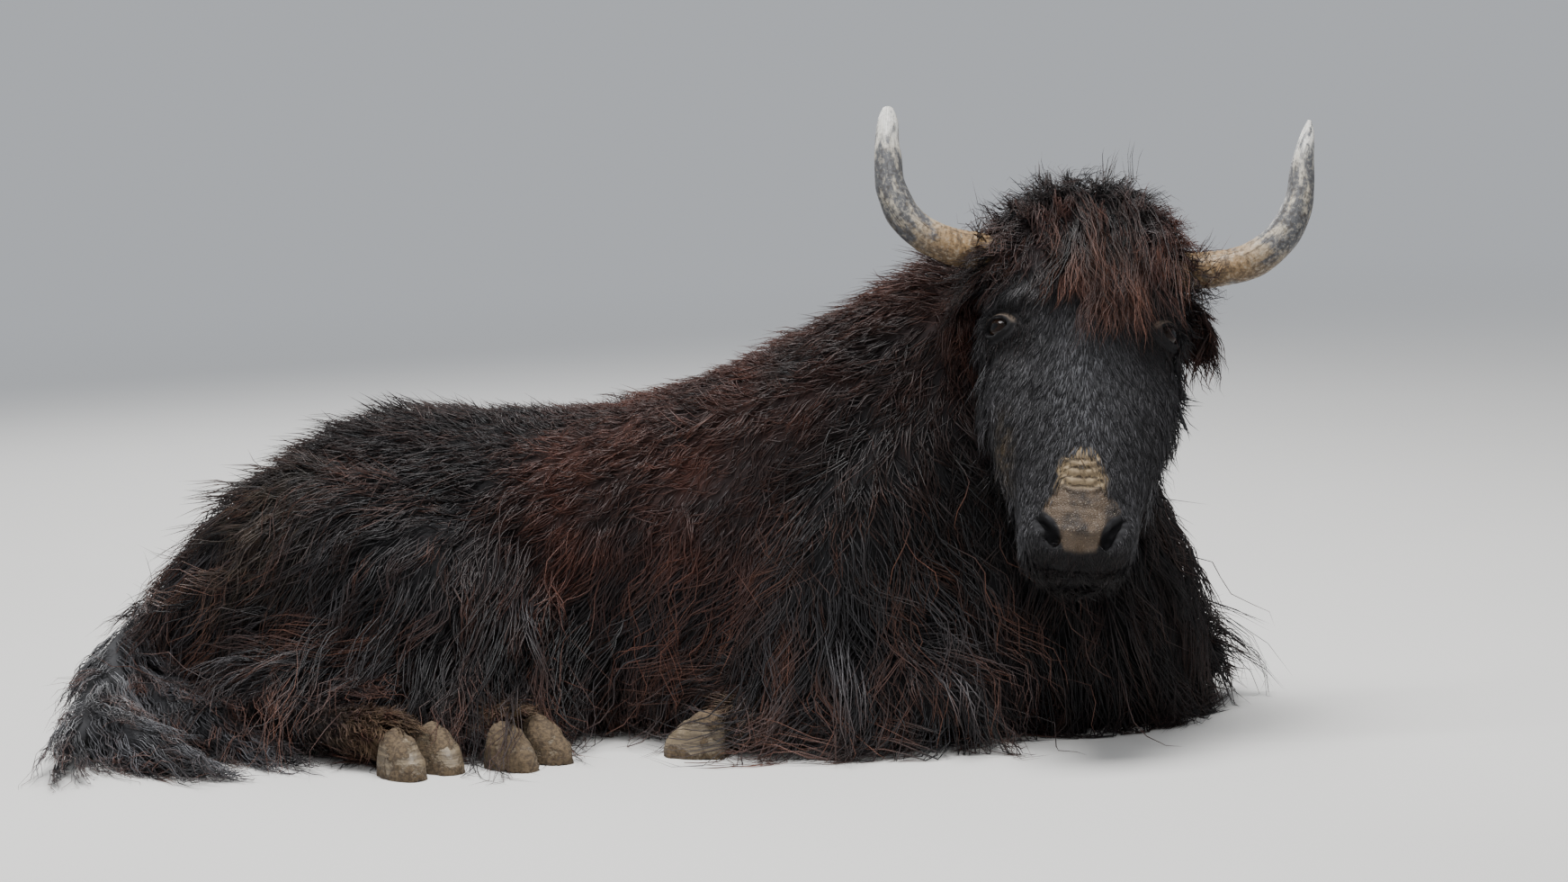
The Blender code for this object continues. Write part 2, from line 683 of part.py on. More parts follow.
class Coat:
    """Plants locks on the cores and keeps each with the node it grows from."""

    def __init__(self, plan):
        self.rng = random.Random(SEED)
        self.pieces = {name: pieces for name, pieces, _ in plan}
        self.trees = []
        for name, pieces, _ in plan:
            self.trees += [(name, search_tree(piece)) for piece in pieces]
        self.claws = [Vector(heel).lerp(Vector(toe), 0.5) for _, heel, toe, *_ in CLAWS]

    def lifted(self, place, height, owners=None):
        """Move a place out of every core until it stands a height above them."""
        for _ in range(2):
            for name, tree in self.trees:
                if name not in (owners or DRAPED):
                    continue
                spot, normal, _, distance = tree.find_nearest(place)
                if distance < LAID_OVER and (place - spot).dot(normal) < height:
                    place = spot + normal * height
        return place

    def hit(self, origin, direction, owners):
        """Nearest point that a ray finds, with its node and normal."""
        found = None
        for name, tree in self.trees:
            spot, normal, _, distance = tree.ray_cast(origin, direction)
            if spot is not None and (found is None or distance < found[0]):
                found = (distance, name, spot, normal)
        if found and found[1] in owners:
            return found[1:]
        return None

    def normal_at(self, place, owners):
        """Outward normal of the core nearest to a place."""
        best = min((tree.find_nearest(place) for name, tree in self.trees
                    if name in (owners or DRAPED)), key=lambda found: found[3])
        return best[1]

    def plant(self, root, lie, length, half_width, lift, owners=None, curl=0.15,
              thickness=LOCK_HALF_THICKNESS, floor_stride=None):
        """Grow one lock from a root along the lie of the coat."""
        name, spot, normal = root
        rng = self.rng
        length *= rng.uniform(*LENGTH_SPREAD)
        half_width *= rng.uniform(*WIDTH_SPREAD)
        lift *= rng.uniform(*LIFT_SPREAD)
        sway = rng.uniform(-curl, curl)
        if floor_stride is None:
            length = min(length, (spot.z - LOCK_CLEARANCE) * FALL_SHARE)
            floor_stride = FLOOR_STRIDE
        spots, ups = [spot - normal * ROOT_DEPTH], [normal]
        place, up = spot.copy(), normal
        for step, (stride, height) in enumerate(LOCK_STEPS):
            heading = lie(place) + up.cross(DOWN) * sway * (step - 1)
            if place.z < FLOOR_LAY:
                heading += normal * FLOOR_PUSH
                stride *= floor_stride
                up = -DOWN
            heading = (heading - up * heading.dot(up)).normalized()
            place = self.lifted(place + heading * length * stride, lift * height, owners)
            up = self.normal_at(place, owners)
            if place.z < FLOOR_LAY:
                up = (up - DOWN * 2.0).normalized()
                place.z = max(place.z, LOCK_CLEARANCE + lift * height * 0.3)
            if step > 0:
                place = eased(spots[-2], spots[-1], place)
                place.z = max(place.z, LOCK_CLEARANCE)
            spots.append(place.copy())
            ups.append(up)
        low = min((spot - claw).length for spot in spots for claw in self.claws)
        if low > CLAW_ROOM:
            piece = lock_form(f"{name}_lock", spots, ups, half_width, thickness)
            if piece:
                self.pieces[name].append(piece)


def search_tree(obj):
    """Tree for finding the nearest point of an object."""
    bm = bmesh.new()
    bm.from_mesh(obj.data)
    tree = BVHTree.FromBMesh(bm)
    bm.free()
    return tree


def eased(before, here, place):
    """The next place, brought in where the lock would turn back too sharply."""
    last, run = here - before, place - here
    if run.angle(last) < MOST_BEND:
        return place
    heading = last.normalized() * 1.3 + run.normalized()
    return here + heading.normalized() * run.length * 0.7


def lock_rings(spots, ups, half_width, thickness):
    """Corners of a lock's cross-sections, turned no more than a little at a time."""
    rings, before = [], None
    for index, width in enumerate(LOCK_WIDTHS):
        forward = (spots[index + 1] - spots[max(index - 1, 0)]).normalized()
        side = forward.cross(ups[index]).normalized()
        if before:
            side = before + side * (LOCK_TWIST if side.dot(before) > 0 else -LOCK_TWIST)
            side = (side - forward * side.dot(forward)).normalized()
        before = side
        up = side.cross(forward)
        spot, across = spots[index], half_width * width
        under = spot - up * thickness
        rings.append((under + side * across, spot + up * thickness, under - side * across))
    return rings


def runs_forward(rings, spots):
    """Whether each corner of a lock lies ahead of the one before it."""
    ends = [*rings, (spots[-1],) * 3]
    for index, (first, second) in enumerate(zip(ends, ends[1:])):
        for forward in (spots[index + 1] - spots[index],
                        spots[index + 1] - spots[max(index - 1, 0)]):
            if any((b - a).dot(forward) < LEAST_STEP * forward.length
                   for a, b in zip(first, second)):
                return False
    return True


def lock_form(name, spots, ups, half_width, thickness):
    """Flat tapered lock of three sides along its spots, closed at its tip."""
    for shrink in LOCK_SHRINKS:
        corners = lock_rings(spots, ups, half_width * shrink, thickness)
        if runs_forward(corners, spots):
            break
    else:
        return None
    bm = bmesh.new()
    rings = [[bm.verts.new(corner) for corner in ring] for ring in corners]
    tip = bm.verts.new(spots[-1])
    for first, second in zip(rings, rings[1:]):
        for step in range(3):
            after = (step + 1) % 3
            bm.faces.new((first[step], first[after], second[after], second[step]))
    bm.faces.new(rings[0][::-1])
    for step in range(3):
        bm.faces.new((rings[-1][step], rings[-1][(step + 1) % 3], tip))
    return mesh_object(name, bm)


def steps_between(first, last, spacing):
    """Evenly spread values from first to last, about a spacing apart."""
    count = max(round((last - first) / spacing), 1)
    return [first + (last - first) * step / count for step in range(count + 1)]


def body_lie(place):
    """Lie of the skirt: down, swept back, and fanned over thigh and shoulder."""
    if place.x > 0.22:
        return Vector((max(-0.35, min((place.x - 0.47) * 1.5, 0.12)), 0.0, -1.0))
    if place.x < -0.40:
        return Vector((max((place.x + 0.35) * 1.0, -0.22), 0.0, -1.0))
    return Vector((-0.20, 0.0, -1.0))


def grow_skirt(coat):
    """Hanging locks along both sides, the rump and the chest."""
    for side in (-1, 1):
        for row, (height, first, last, spacing, length, width) in enumerate(SKIRT_ROWS):
            stretch = 1.0 if side < 0 else 1.12
            for x in steps_between(first, last, spacing * stretch):
                x += spacing * (0.5 if row % 2 else 0.0) + coat.rng.uniform(-0.012, 0.012)
                z = height + coat.rng.uniform(-0.02, 0.02)
                root = coat.hit(Vector((x, side * 2.0, z)), Vector((0, -side, 0)), SKIRTED)
                if root:
                    coat.plant(root, body_lie, length, width * stretch, SKIRT_LIFT)
    for height, length, spacing in CHEST_ROWS:
        for y in steps_between(-0.12, 0.16, spacing):
            root = coat.hit(Vector((2.0, y, height)), Vector((-1, 0, 0)), SKIRTED)
            if root:
                coat.plant(root, lambda place: Vector((-0.1, 0, -1)), length, 0.046,
                           SKIRT_LIFT)


def grow_forelock(coat):
    """Forelock over the forehead and the shaggy crest on the poll."""
    def down_face(place):
        offset = place - POLL
        return ALONG + ASIDE * (0.25 - offset.dot(ASIDE) * 2.2)

    for along, length, lift in ((0.055, 0.120, 0.016), (0.010, 0.175, 0.026),
                                (-0.035, 0.200, 0.036)):
        for aside in steps_between(-0.080, 0.080, 0.040):
            start = face_point(aside + coat.rng.uniform(-0.006, 0.006), along, 0.5)
            root = coat.hit(start, -OUT, ("head",))
            if root:
                coat.plant(root, down_face, length, 0.021, lift, ("head",), 0.3, 0.0035)
    for turn in steps_between(-96.0, 96.0, 32.0):
        angle = math.radians(turn)
        outward = -ALONG * math.cos(angle) + ASIDE * math.sin(angle)
        start = face_point(0.0, 0.020, -0.055) + outward * 0.5
        fall = outward * 0.4 - OUT * 0.6 + ALONG * 0.5
        root = coat.hit(start, -outward, ("head",))
        if root:
            coat.plant(root, lambda place, fall=fall: fall, 0.100, 0.030, 0.045,
                       ("head",), 0.3, 0.010)


def grow_tail(coat):
    """Long waves of the tail, which fall forward and out from the dock."""
    rows = smooth_path(DOCK, 2)
    for index in range(0, len(rows) - 1, 2):
        centre, after = Vector(rows[index][:3]), Vector(rows[index + 1][:3])
        run = (after - centre).normalized()
        share = index / len(rows)
        inner = Vector((0.85, -0.35, -0.10)).lerp(Vector((0.75, -0.60, -0.10)), share)
        for start, heading, length, lift in (
                (Vector((0.75, -0.1, 0.35)), inner, 0.270, 0.016),
                (Vector((0.15, -0.1, 0.75)), inner + run * 0.5, 0.330, 0.034),
                (Vector((-0.7, 0.0, 0.45)), run + Vector((-0.05, 0.0, -0.25)), 0.190, 0.02)):
            root = coat.hit(centre + start * 0.5, -start.normalized(), ("tail",))
            if root:
                coat.plant(root, lambda place, heading=heading: heading,
                           length * (1.1 - 0.3 * share), 0.044, lift, floor_stride=0.8)


def reach(obj, margin=0.001):
    """Lowest and highest corner of an object, with a margin."""
    places = [vert.co for vert in obj.data.vertices]
    low = [min(place[axis] for place in places) - margin for axis in range(3)]
    high = [max(place[axis] for place in places) + margin for axis in range(3)]
    return low, high


def meets(first, second):
    """Whether the boxes of two objects overlap."""
    (low_a, high_a), (low_b, high_b) = reach(first), reach(second)
    return all(low_a[axis] < high_b[axis] and low_b[axis] < high_a[axis]
               for axis in range(3))


def carve(plan, parts):
    """Make each node: fuse it, then cut it by those that come before it."""
    finished, guards = [], []
    for name, pieces, hollows in plan:
        guard = joined([grown(piece) for piece in pieces])
        body = joined(pieces, hollows)
        cutters = [copied(other) for other in guards if meets(body, other)]
        joined([body], cutters + [floor_block()])
        keep_largest(body)
        body.name = name
        body.data.name = name
        bpy.context.scene.collection.objects.unlink(body)
        parts.objects.link(body)
        finished.append(body)
        guards.append(guard)
    for guard in guards:
        bpy.data.objects.remove(guard, do_unlink=True)
    return finished


def dress(bodies):
    """Give each node its own material."""
    finishes = {"claw": (CLAW_COLOUR, 0.75), "horn": (HORN_COLOUR, 0.5),
                "eye": (EYE_COLOUR, 0.08), "tail": (TAIL_COLOUR, 0.7)}
    for body in bodies:
        colour, roughness = finishes.get(body.name.split("_")[0], (COAT_COLOUR, 0.75))
        body.data.materials.clear()
        body.data.materials.append(finish_material(body.name + "_finish", colour,
                                                   roughness))
        body.data.shade_smooth()
        body.data.set_sharp_from_angle(angle=CREASE)


def settle(bodies, parts):
    """Hang the nodes on one empty, set so that the origin is below their middle."""
    corners = [reach(body, 0.0) for body in bodies]
    low = [min(corner[0][axis] for corner in corners) for axis in range(3)]
    high = [max(corner[1][axis] for corner in corners) for axis in range(3)]
    stand = bpy.data.objects.new("yak_place", None)
    stand.location = (-(low[0] + high[0]) / 2, -(low[1] + high[1]) / 2, -low[2])
    parts.objects.link(stand)
    for body in bodies:
        body.parent = stand


def main():
    """Build the whole animal."""
    clear_scene()
    parts = new_collection("yak")
    plan = body_plan()
    coat = Coat(plan)
    grow_skirt(coat)
    grow_forelock(coat)
    grow_tail(coat)
    bodies = carve(plan, parts)
    dress(bodies)
    settle(bodies, parts)


main()
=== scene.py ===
"""Render scene of a life-size still yak that lies on its chest with its head turned.

One skin stands for the nodes of flesh, and a coat of solid strands grows from it.
Places are given in the animal's own frame: +X along the back towards the withers,
+Y to its left, +Z up, with the floor at Z = 0. SHIFT takes them to the model's frame.
"""

import logging
import math
from contextlib import contextmanager
from dataclasses import dataclass, field
from enum import Enum
from typing import Callable, Iterator, Sequence

import bmesh
import bpy
import numpy as np
from bpy.types import Material, Mesh, Node, NodeSocket, NodeTree, Object
from mathutils import Matrix, Vector
from mathutils.bvhtree import BVHTree
from mathutils.kdtree import KDTree


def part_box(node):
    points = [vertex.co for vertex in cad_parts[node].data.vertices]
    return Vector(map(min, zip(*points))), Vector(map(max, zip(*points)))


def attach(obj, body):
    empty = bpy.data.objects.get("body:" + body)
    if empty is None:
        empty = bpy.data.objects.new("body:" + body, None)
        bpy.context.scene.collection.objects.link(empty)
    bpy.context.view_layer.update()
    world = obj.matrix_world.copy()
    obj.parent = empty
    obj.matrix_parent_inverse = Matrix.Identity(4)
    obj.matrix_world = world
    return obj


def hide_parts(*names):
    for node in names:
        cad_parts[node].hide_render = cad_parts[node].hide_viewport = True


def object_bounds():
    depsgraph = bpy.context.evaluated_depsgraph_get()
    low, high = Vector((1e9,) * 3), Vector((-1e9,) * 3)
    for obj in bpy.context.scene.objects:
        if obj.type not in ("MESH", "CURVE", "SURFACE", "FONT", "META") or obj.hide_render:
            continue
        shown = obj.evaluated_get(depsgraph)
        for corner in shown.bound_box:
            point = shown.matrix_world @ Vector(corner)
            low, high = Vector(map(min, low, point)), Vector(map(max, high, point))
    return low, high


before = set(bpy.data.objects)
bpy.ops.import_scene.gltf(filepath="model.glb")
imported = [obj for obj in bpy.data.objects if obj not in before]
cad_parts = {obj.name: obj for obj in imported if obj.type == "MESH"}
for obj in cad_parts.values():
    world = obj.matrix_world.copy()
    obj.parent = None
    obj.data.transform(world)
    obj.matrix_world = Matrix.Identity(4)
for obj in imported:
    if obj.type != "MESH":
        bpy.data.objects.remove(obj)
CAD_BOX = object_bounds()

LOG = logging.getLogger("yak")
Array = np.ndarray
Row = Sequence[float]
DOWN = np.array([0.0, 0.0, -1.0])
UV_MAP = "OFBake"
# Room under the hair that lies on the floor, and patch of a tuft on the unwrap
FLOOR_ROOM, TUFT_PATCH = 0.004, 0.003

# The head's place and turn, and its features in the head's frame
POLL = np.array([0.765, -0.13, 0.684])
FACE_TURN, FACE_LIFT, FACE_ROLL = (math.radians(a) for a in (-63.6, 27.6, 6.1))
EYE, EYE_RADIUS, EYE_SLENDER = (0.099, 0.148, -0.05), 0.0195, 0.62
NOSTRIL = (0.0395, 0.425, -0.01)

# Torso stations: x, y, top, level of greatest width, half width
TORSO = (
    (-0.71, -0.02, 0.1, 0.06, 0.04), (-0.69, -0.02, 0.135, 0.08, 0.11),
    (-0.64, -0.02, 0.19, 0.1, 0.175), (-0.57, -0.01, 0.262, 0.12, 0.215),
    (-0.48, 0.0, 0.345, 0.14, 0.245), (-0.39, 0.0, 0.392, 0.155, 0.26),
    (-0.29, 0.0, 0.408, 0.165, 0.26), (-0.16, 0.0, 0.41, 0.165, 0.258),
    (-0.02, 0.0, 0.422, 0.17, 0.262), (0.12, 0.0, 0.452, 0.175, 0.268),
    (0.25, 0.0, 0.498, 0.19, 0.266), (0.36, 0.0, 0.546, 0.205, 0.255),
    (0.46, 0.0, 0.596, 0.225, 0.238), (0.545, 0.0, 0.62, 0.245, 0.214),
    (0.62, 0.0, 0.575, 0.235, 0.19), (0.68, 0.01, 0.47, 0.215, 0.172),
    (0.735, 0.02, 0.36, 0.185, 0.148), (0.78, 0.03, 0.265, 0.15, 0.112),
    (0.802, 0.03, 0.2, 0.12, 0.055),
)
# Neck stations: x, y, z, heading in degrees, half width, rise, drop
NECK = (
    (0.45, 0.0, 0.39, 0.0, 0.15, 0.19, 0.25),
    (0.56, 0.0, 0.42, 0.0, 0.15, 0.185, 0.27),
    (0.65, -0.02, 0.455, -10.0, 0.142, 0.175, 0.28),
    (0.71, -0.06, 0.48, -22.0, 0.125, 0.162, 0.25),
    (0.745, -0.09, 0.5, -30.0, 0.1, 0.145, 0.2),
)
# Head stations: distance down the face from the poll, half width, front, back
HEAD = (
    (-0.044, 0.035, -0.05, -0.09), (-0.03, 0.068, -0.024, -0.122),
    (0.005, 0.098, -0.008, -0.152), (0.055, 0.115, 0.0, -0.172),
    (0.11, 0.121, 0.0, -0.19), (0.165, 0.122, -0.004, -0.202),
    (0.22, 0.122, -0.006, -0.2), (0.275, 0.114, -0.006, -0.182),
    (0.33, 0.097, -0.005, -0.155), (0.38, 0.08, -0.003, -0.132),
    (0.42, 0.075, -0.003, -0.117), (0.448, 0.067, -0.011, -0.108),
    (0.466, 0.048, -0.026, -0.094), (0.473, 0.02, -0.044, -0.076),
)
# Horns in the head's frame: aside, along, out, radius
HORN_RIGHT = (
    (-0.08, 0.036, -0.075, 0.026), (-0.14, 0.038, -0.055, 0.0245),
    (-0.195, 0.03, -0.04, 0.0228), (-0.232, 0.007, -0.026, 0.0215),
    (-0.252, -0.029, -0.016, 0.0195), (-0.259, -0.078, -0.01, 0.0165),
    (-0.26, -0.12, -0.014, 0.013), (-0.26, -0.14, -0.018, 0.0075),
)
HORN_LEFT = (
    (0.08, 0.044, -0.075, 0.026), (0.155, 0.05, -0.055, 0.0235),
    (0.212, 0.04, -0.04, 0.0228), (0.25, 0.011, -0.026, 0.0218),
    (0.27, -0.034, -0.016, 0.0188), (0.275, -0.088, -0.01, 0.0145),
    (0.281, -0.128, -0.014, 0.0085), (0.284, -0.15, -0.018, 0.0025),
)
EAR_ROOT, EAR_TIP = (0.108, 0.072, -0.11), (0.17, 0.152, -0.112)
EAR_HALF_WIDTH, EAR_WALL, EAR_DEPTH = 0.033, 0.0065, 0.72
# Claws: node, heel, toe, half width, height
CLAWS = (
    ("claw_hind_right_outer", (-0.096, -0.5, 0.0), (-0.026, -0.548, 0.0), 0.027, 0.06),
    ("claw_hind_right_inner", (-0.068, -0.456, 0.0), (0.004, -0.5, 0.0), 0.027, 0.06),
    ("claw_hind_left_outer", (0.022, -0.43, 0.0), (0.096, -0.466, 0.0), 0.026, 0.06),
    ("claw_hind_left_inner", (0.046, -0.384, 0.0), (0.12, -0.412, 0.0), 0.026, 0.06),
    ("claw_fore_right_outer", (0.308, -0.326, 0.0), (0.222, -0.336, 0.0), 0.025, 0.062),
    ("claw_fore_right_inner", (0.305, -0.272, 0.0), (0.219, -0.272, 0.0), 0.025, 0.062),
    ("claw_fore_left_outer", (0.552, 0.294, 0.0), (0.484, 0.342, 0.0), 0.025, 0.06),
    ("claw_fore_left_inner", (0.524, 0.249, 0.0), (0.452, 0.292, 0.0), 0.025, 0.06),
)
FLESH_NODES = ("torso", "neck", "head", "tail", "hindleg_right", "hindleg_left",
               "hindfoot_left", "foreleg_right", "foreleg_left", "ear_right", "ear_left")


class Region(Enum):
    """Part of the body that a stretch of skin belongs to."""

    TORSO = 0
    NECK = 1
    HEAD = 2
    UPPER_LEG = 3
    LOWER_LEG = 4
    FOOT = 5
    TAIL = 6
    EAR = 7


# Limbs: region, the way the hair falls, and rows of x, y, z, radius
LIMBS = (
    (Region.UPPER_LEG, (-0.3, 0.0, -1.0), (
        (-0.56, -0.11, 0.15, 0.09), (-0.44, -0.14, 0.185, 0.15),
        (-0.29, -0.17, 0.19, 0.165), (-0.13, -0.215, 0.165, 0.13),
        (-0.03, -0.25, 0.13, 0.08))),
    (Region.UPPER_LEG, (-0.45, -0.15, -0.8), (
        (-0.04, -0.262, 0.1, 0.07), (-0.2, -0.31, 0.08, 0.062),
        (-0.365, -0.352, 0.062, 0.05), (-0.395, -0.372, 0.055, 0.032))),
    (Region.LOWER_LEG, (0.8, -0.3, -0.5), (
        (-0.39, -0.368, 0.052, 0.036), (-0.29, -0.42, 0.047, 0.032),
        (-0.195, -0.455, 0.046, 0.033), (-0.13, -0.47, 0.044, 0.036),
        (-0.098, -0.473, 0.04, 0.03))),
    (Region.UPPER_LEG, (-0.3, 0.0, -1.0), (
        (-0.56, 0.1, 0.15, 0.085), (-0.44, 0.14, 0.175, 0.145),
        (-0.29, 0.17, 0.175, 0.158), (-0.13, 0.215, 0.15, 0.125),
        (-0.03, 0.24, 0.12, 0.078))),
    (Region.UPPER_LEG, (-0.45, 0.15, -0.8), (
        (-0.03, 0.235, 0.085, 0.072), (-0.18, 0.255, 0.07, 0.062),
        (-0.34, 0.245, 0.06, 0.05), (-0.37, 0.235, 0.052, 0.032))),
    (Region.FOOT, (0.5, -0.5, -0.4), (
        (-0.11, -0.23, 0.045, 0.034), (-0.06, -0.31, 0.045, 0.033),
        (-0.012, -0.372, 0.046, 0.037), (0.018, -0.4, 0.044, 0.031))),
    (Region.UPPER_LEG, (0.05, 0.0, -1.0), (
        (0.53, -0.12, 0.4, 0.09), (0.48, -0.15, 0.3, 0.118),
        (0.4, -0.19, 0.205, 0.108), (0.35, -0.215, 0.135, 0.08))),
    (Region.UPPER_LEG, (0.3, -0.2, -1.0), (
        (0.31, -0.23, 0.105, 0.06), (0.43, -0.232, 0.092, 0.058),
        (0.545, -0.222, 0.07, 0.048), (0.59, -0.218, 0.06, 0.04))),
    (Region.LOWER_LEG, (-0.6, -0.3, -0.5), (
        (0.585, -0.222, 0.05, 0.034), (0.48, -0.258, 0.042, 0.03),
        (0.385, -0.285, 0.042, 0.032), (0.335, -0.294, 0.042, 0.034),
        (0.312, -0.296, 0.04, 0.028))),
    (Region.UPPER_LEG, (0.05, 0.0, -1.0), (
        (0.54, 0.11, 0.4, 0.09), (0.52, 0.14, 0.3, 0.116),
        (0.47, 0.175, 0.205, 0.106), (0.44, 0.198, 0.135, 0.08))),
    (Region.UPPER_LEG, (0.25, 0.2, -1.0), (
        (0.43, 0.22, 0.105, 0.06), (0.58, 0.205, 0.095, 0.06),
        (0.73, 0.17, 0.072, 0.05), (0.795, 0.145, 0.06, 0.042))),
    (Region.LOWER_LEG, (-0.6, 0.3, -0.5), (
        (0.79, 0.155, 0.048, 0.034), (0.69, 0.205, 0.042, 0.03),
        (0.605, 0.24, 0.042, 0.032), (0.56, 0.26, 0.042, 0.034),
        (0.538, 0.269, 0.04, 0.028))),
    (Region.TAIL, (0.45, -0.6, -0.35), (
        (-0.63, -0.01, 0.15, 0.046), (-0.69, -0.11, 0.11, 0.044),
        (-0.685, -0.23, 0.078, 0.042), (-0.625, -0.37, 0.056, 0.036),
        (-0.565, -0.51, 0.042, 0.028), (-0.53, -0.61, 0.032, 0.018))),
    (Region.TAIL, (0.75, -0.5, -0.2), (
        (-0.66, -0.2, 0.04, 0.04), (-0.54, -0.33, 0.03, 0.042),
        (-0.41, -0.43, 0.02, 0.034), (-0.29, -0.49, 0.01, 0.02))),
    (Region.TAIL, (0.7, -0.5, -0.2), (
        (-0.62, -0.38, 0.036, 0.038), (-0.53, -0.48, 0.026, 0.042),
        (-0.42, -0.55, 0.018, 0.032), (-0.33, -0.58, 0.01, 0.018))),
)


# Small helpers


def unit(vectors: Array) -> Array:
    """Vectors scaled to length one."""
    return vectors / np.maximum(np.linalg.norm(vectors, axis=-1, keepdims=True), 1e-9)


def step_up(low: float, high: float, values: Array) -> Array:
    """Smooth step from 0 at low to 1 at high; low may be the larger one."""
    share = np.clip((values - low) / (high - low), 0.0, 1.0)
    return share * share * (3.0 - 2.0 * share)


def patch(points: Array, centre: Row, reach: Row) -> Array:
    """Bell-shaped patch about a centre, 0.37 at its reach along each axis."""
    return np.exp(-np.sum(((points - np.array(centre)) / np.array(reach)) ** 2, axis=1))


def drift(points: Array, size: float, seed: int) -> Array:
    """Smooth noise of about -1 to 1, made of crossing waves.

    Args:
        points: Places, one to a row.
        size: Length of the waves in metres.
        seed: Seed of the waves' directions.

    Returns:
        One value for each place.
    """
    rng = np.random.default_rng(seed)
    total = np.zeros(len(points))
    for _ in range(7):
        way = unit(rng.normal(size=3)) * 2 * math.pi / (size * rng.uniform(0.6, 1.7))
        total += np.sin(points @ way + rng.uniform(0, 2 * math.pi))
    return total / 3.0


def face_frame() -> Array:
    """Rows: unit vectors to the animal's left, down the face and out of it."""
    heading = np.array([math.cos(FACE_TURN), math.sin(FACE_TURN), 0.0])
    out = heading * math.cos(FACE_LIFT) - DOWN * math.sin(FACE_LIFT)
    rise = -heading * math.sin(FACE_LIFT) - DOWN * math.cos(FACE_LIFT)
    left = np.cross(rise, out)
    aside = left * math.cos(FACE_ROLL) - rise * math.sin(FACE_ROLL)
    along = -(rise * math.cos(FACE_ROLL) + left * math.sin(FACE_ROLL))
    return np.array([aside, along, out])


FACE = face_frame()
ASIDE, ALONG, OUT = FACE


def from_face(places: Row) -> Array:
    """Body-frame places of ones given in the head's frame."""
    return POLL + np.asarray(places, float) @ FACE


def to_face(points: Array) -> Array:
    """Head-frame places (aside, along, out) of ones in the body's frame."""
    return (points - POLL) @ FACE.T


def find_shift() -> Array:
    """Way from the body's frame to the model's, read from the eye's node."""
    low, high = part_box("eye_right")
    return (np.array(low) + np.array(high)) / 2 - from_face((-EYE[0], EYE[1], EYE[2]))


SHIFT = find_shift()


def smooth_rows(rows: Sequence[Row], steps: int) -> Array:
    """Catmull-Rom rows through the given ones.

    Args:
        rows: Rows of numbers, such as place and radius.
        steps: Steps to each stretch.

    Returns:
        The finer rows.
    """
    table = np.array(rows, float)
    ends = np.concatenate([table[:1], table, table[-1:]])
    share = (np.arange(steps) / steps)[:, None]
    path = []
    for a, b, c, d in zip(ends, ends[1:], ends[2:], ends[3:]):
        path.append(0.5 * (2 * b + (c - a) * share + (2 * a - 5 * b + 4 * c - d) * share ** 2
                           + (3 * b - a - 3 * c + d) * share ** 3))
    return np.concatenate([*path, table[-1:]])


def placed(name: str, data: bpy.types.ID) -> Object:
    """Object of a mesh, a lamp or a camera, linked into the scene."""
    obj = bpy.data.objects.new(name, data)
    bpy.context.scene.collection.objects.link(obj)
    return obj


def hand_in(obj: Object, finish: Material, slot: str, *nodes: str) -> None:
    """Smooth and dress a piece, and say what it rides on and stands for.

    Args:
        obj: The piece.
        finish: Its material.
        slot: Name of its slot; not used.
        nodes: Names of the nodes that it replaces.
    """
    obj.data.shade_smooth()
    obj.data.materials.clear()
    obj.data.materials.append(finish)
    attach(obj, "root")
    if nodes:
        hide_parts(*nodes)
    LOG.info("%s made", obj.name)


def add_mesh(name: str, points: Array, faces: Sequence[Sequence[int]]) -> Object:
    """Object of points in the body's frame, moved to the model's.

    Args:
        name: Name of the object.
        points: Places of the vertices in the body's frame.
        faces: Vertex numbers of each face.

    Returns:
        The new object.
    """
    mesh = bpy.data.meshes.new(name)
    mesh.from_pydata((points + SHIFT).tolist(), [], [list(face) for face in faces])
    mesh.update()
    return placed(name, mesh)


@contextmanager
def edited(mesh: Mesh) -> Iterator[bmesh.types.BMesh]:
    """The mesh as a bmesh, which is written back when the block ends."""
    bm = bmesh.new()
    bm.from_mesh(mesh)
    yield bm
    bm.to_mesh(mesh)
    bm.free()


def turn_outwards(mesh: Mesh) -> None:
    """Make the normals of all faces point outwards."""
    with edited(mesh) as bm:
        bmesh.ops.recalc_face_normals(bm, faces=bm.faces[:])


def applied(obj: Object) -> Object:
    """The object with its modifiers baked into its mesh."""
    graph = bpy.context.evaluated_depsgraph_get()
    mesh = bpy.data.meshes.new_from_object(obj.evaluated_get(graph))
    old = obj.data
    obj.modifiers.clear()
    obj.data = mesh
    bpy.data.meshes.remove(old)
    return obj


def read(items: bpy.types.bpy_prop_collection, key: str, width: int,
         kind: type = float) -> Array:
    """One property of all items as an array with a row for each."""
    flat = np.empty(len(items) * width, dtype=kind)
    items.foreach_get(key, flat)
    return flat.reshape(-1, width)


def mesh_points(mesh: Mesh) -> Array:
    """Places of a mesh's vertices in the body's frame."""
    return read(mesh.vertices, "co", 3) - SHIFT


def set_points(mesh: Mesh, points: Array) -> None:
    """Move a mesh's vertices to places in the body's frame."""
    mesh.vertices.foreach_set("co", (points + SHIFT).ravel())
    mesh.update()


def mesh_edges(mesh: Mesh) -> Array:
    """Vertex numbers of a mesh's edges."""
    return read(mesh.edges, "vertices", 2, np.int32)


def mesh_normals(mesh: Mesh) -> Array:
    """Normals at a mesh's vertices."""
    return read(mesh.vertex_normals, "vector", 3)


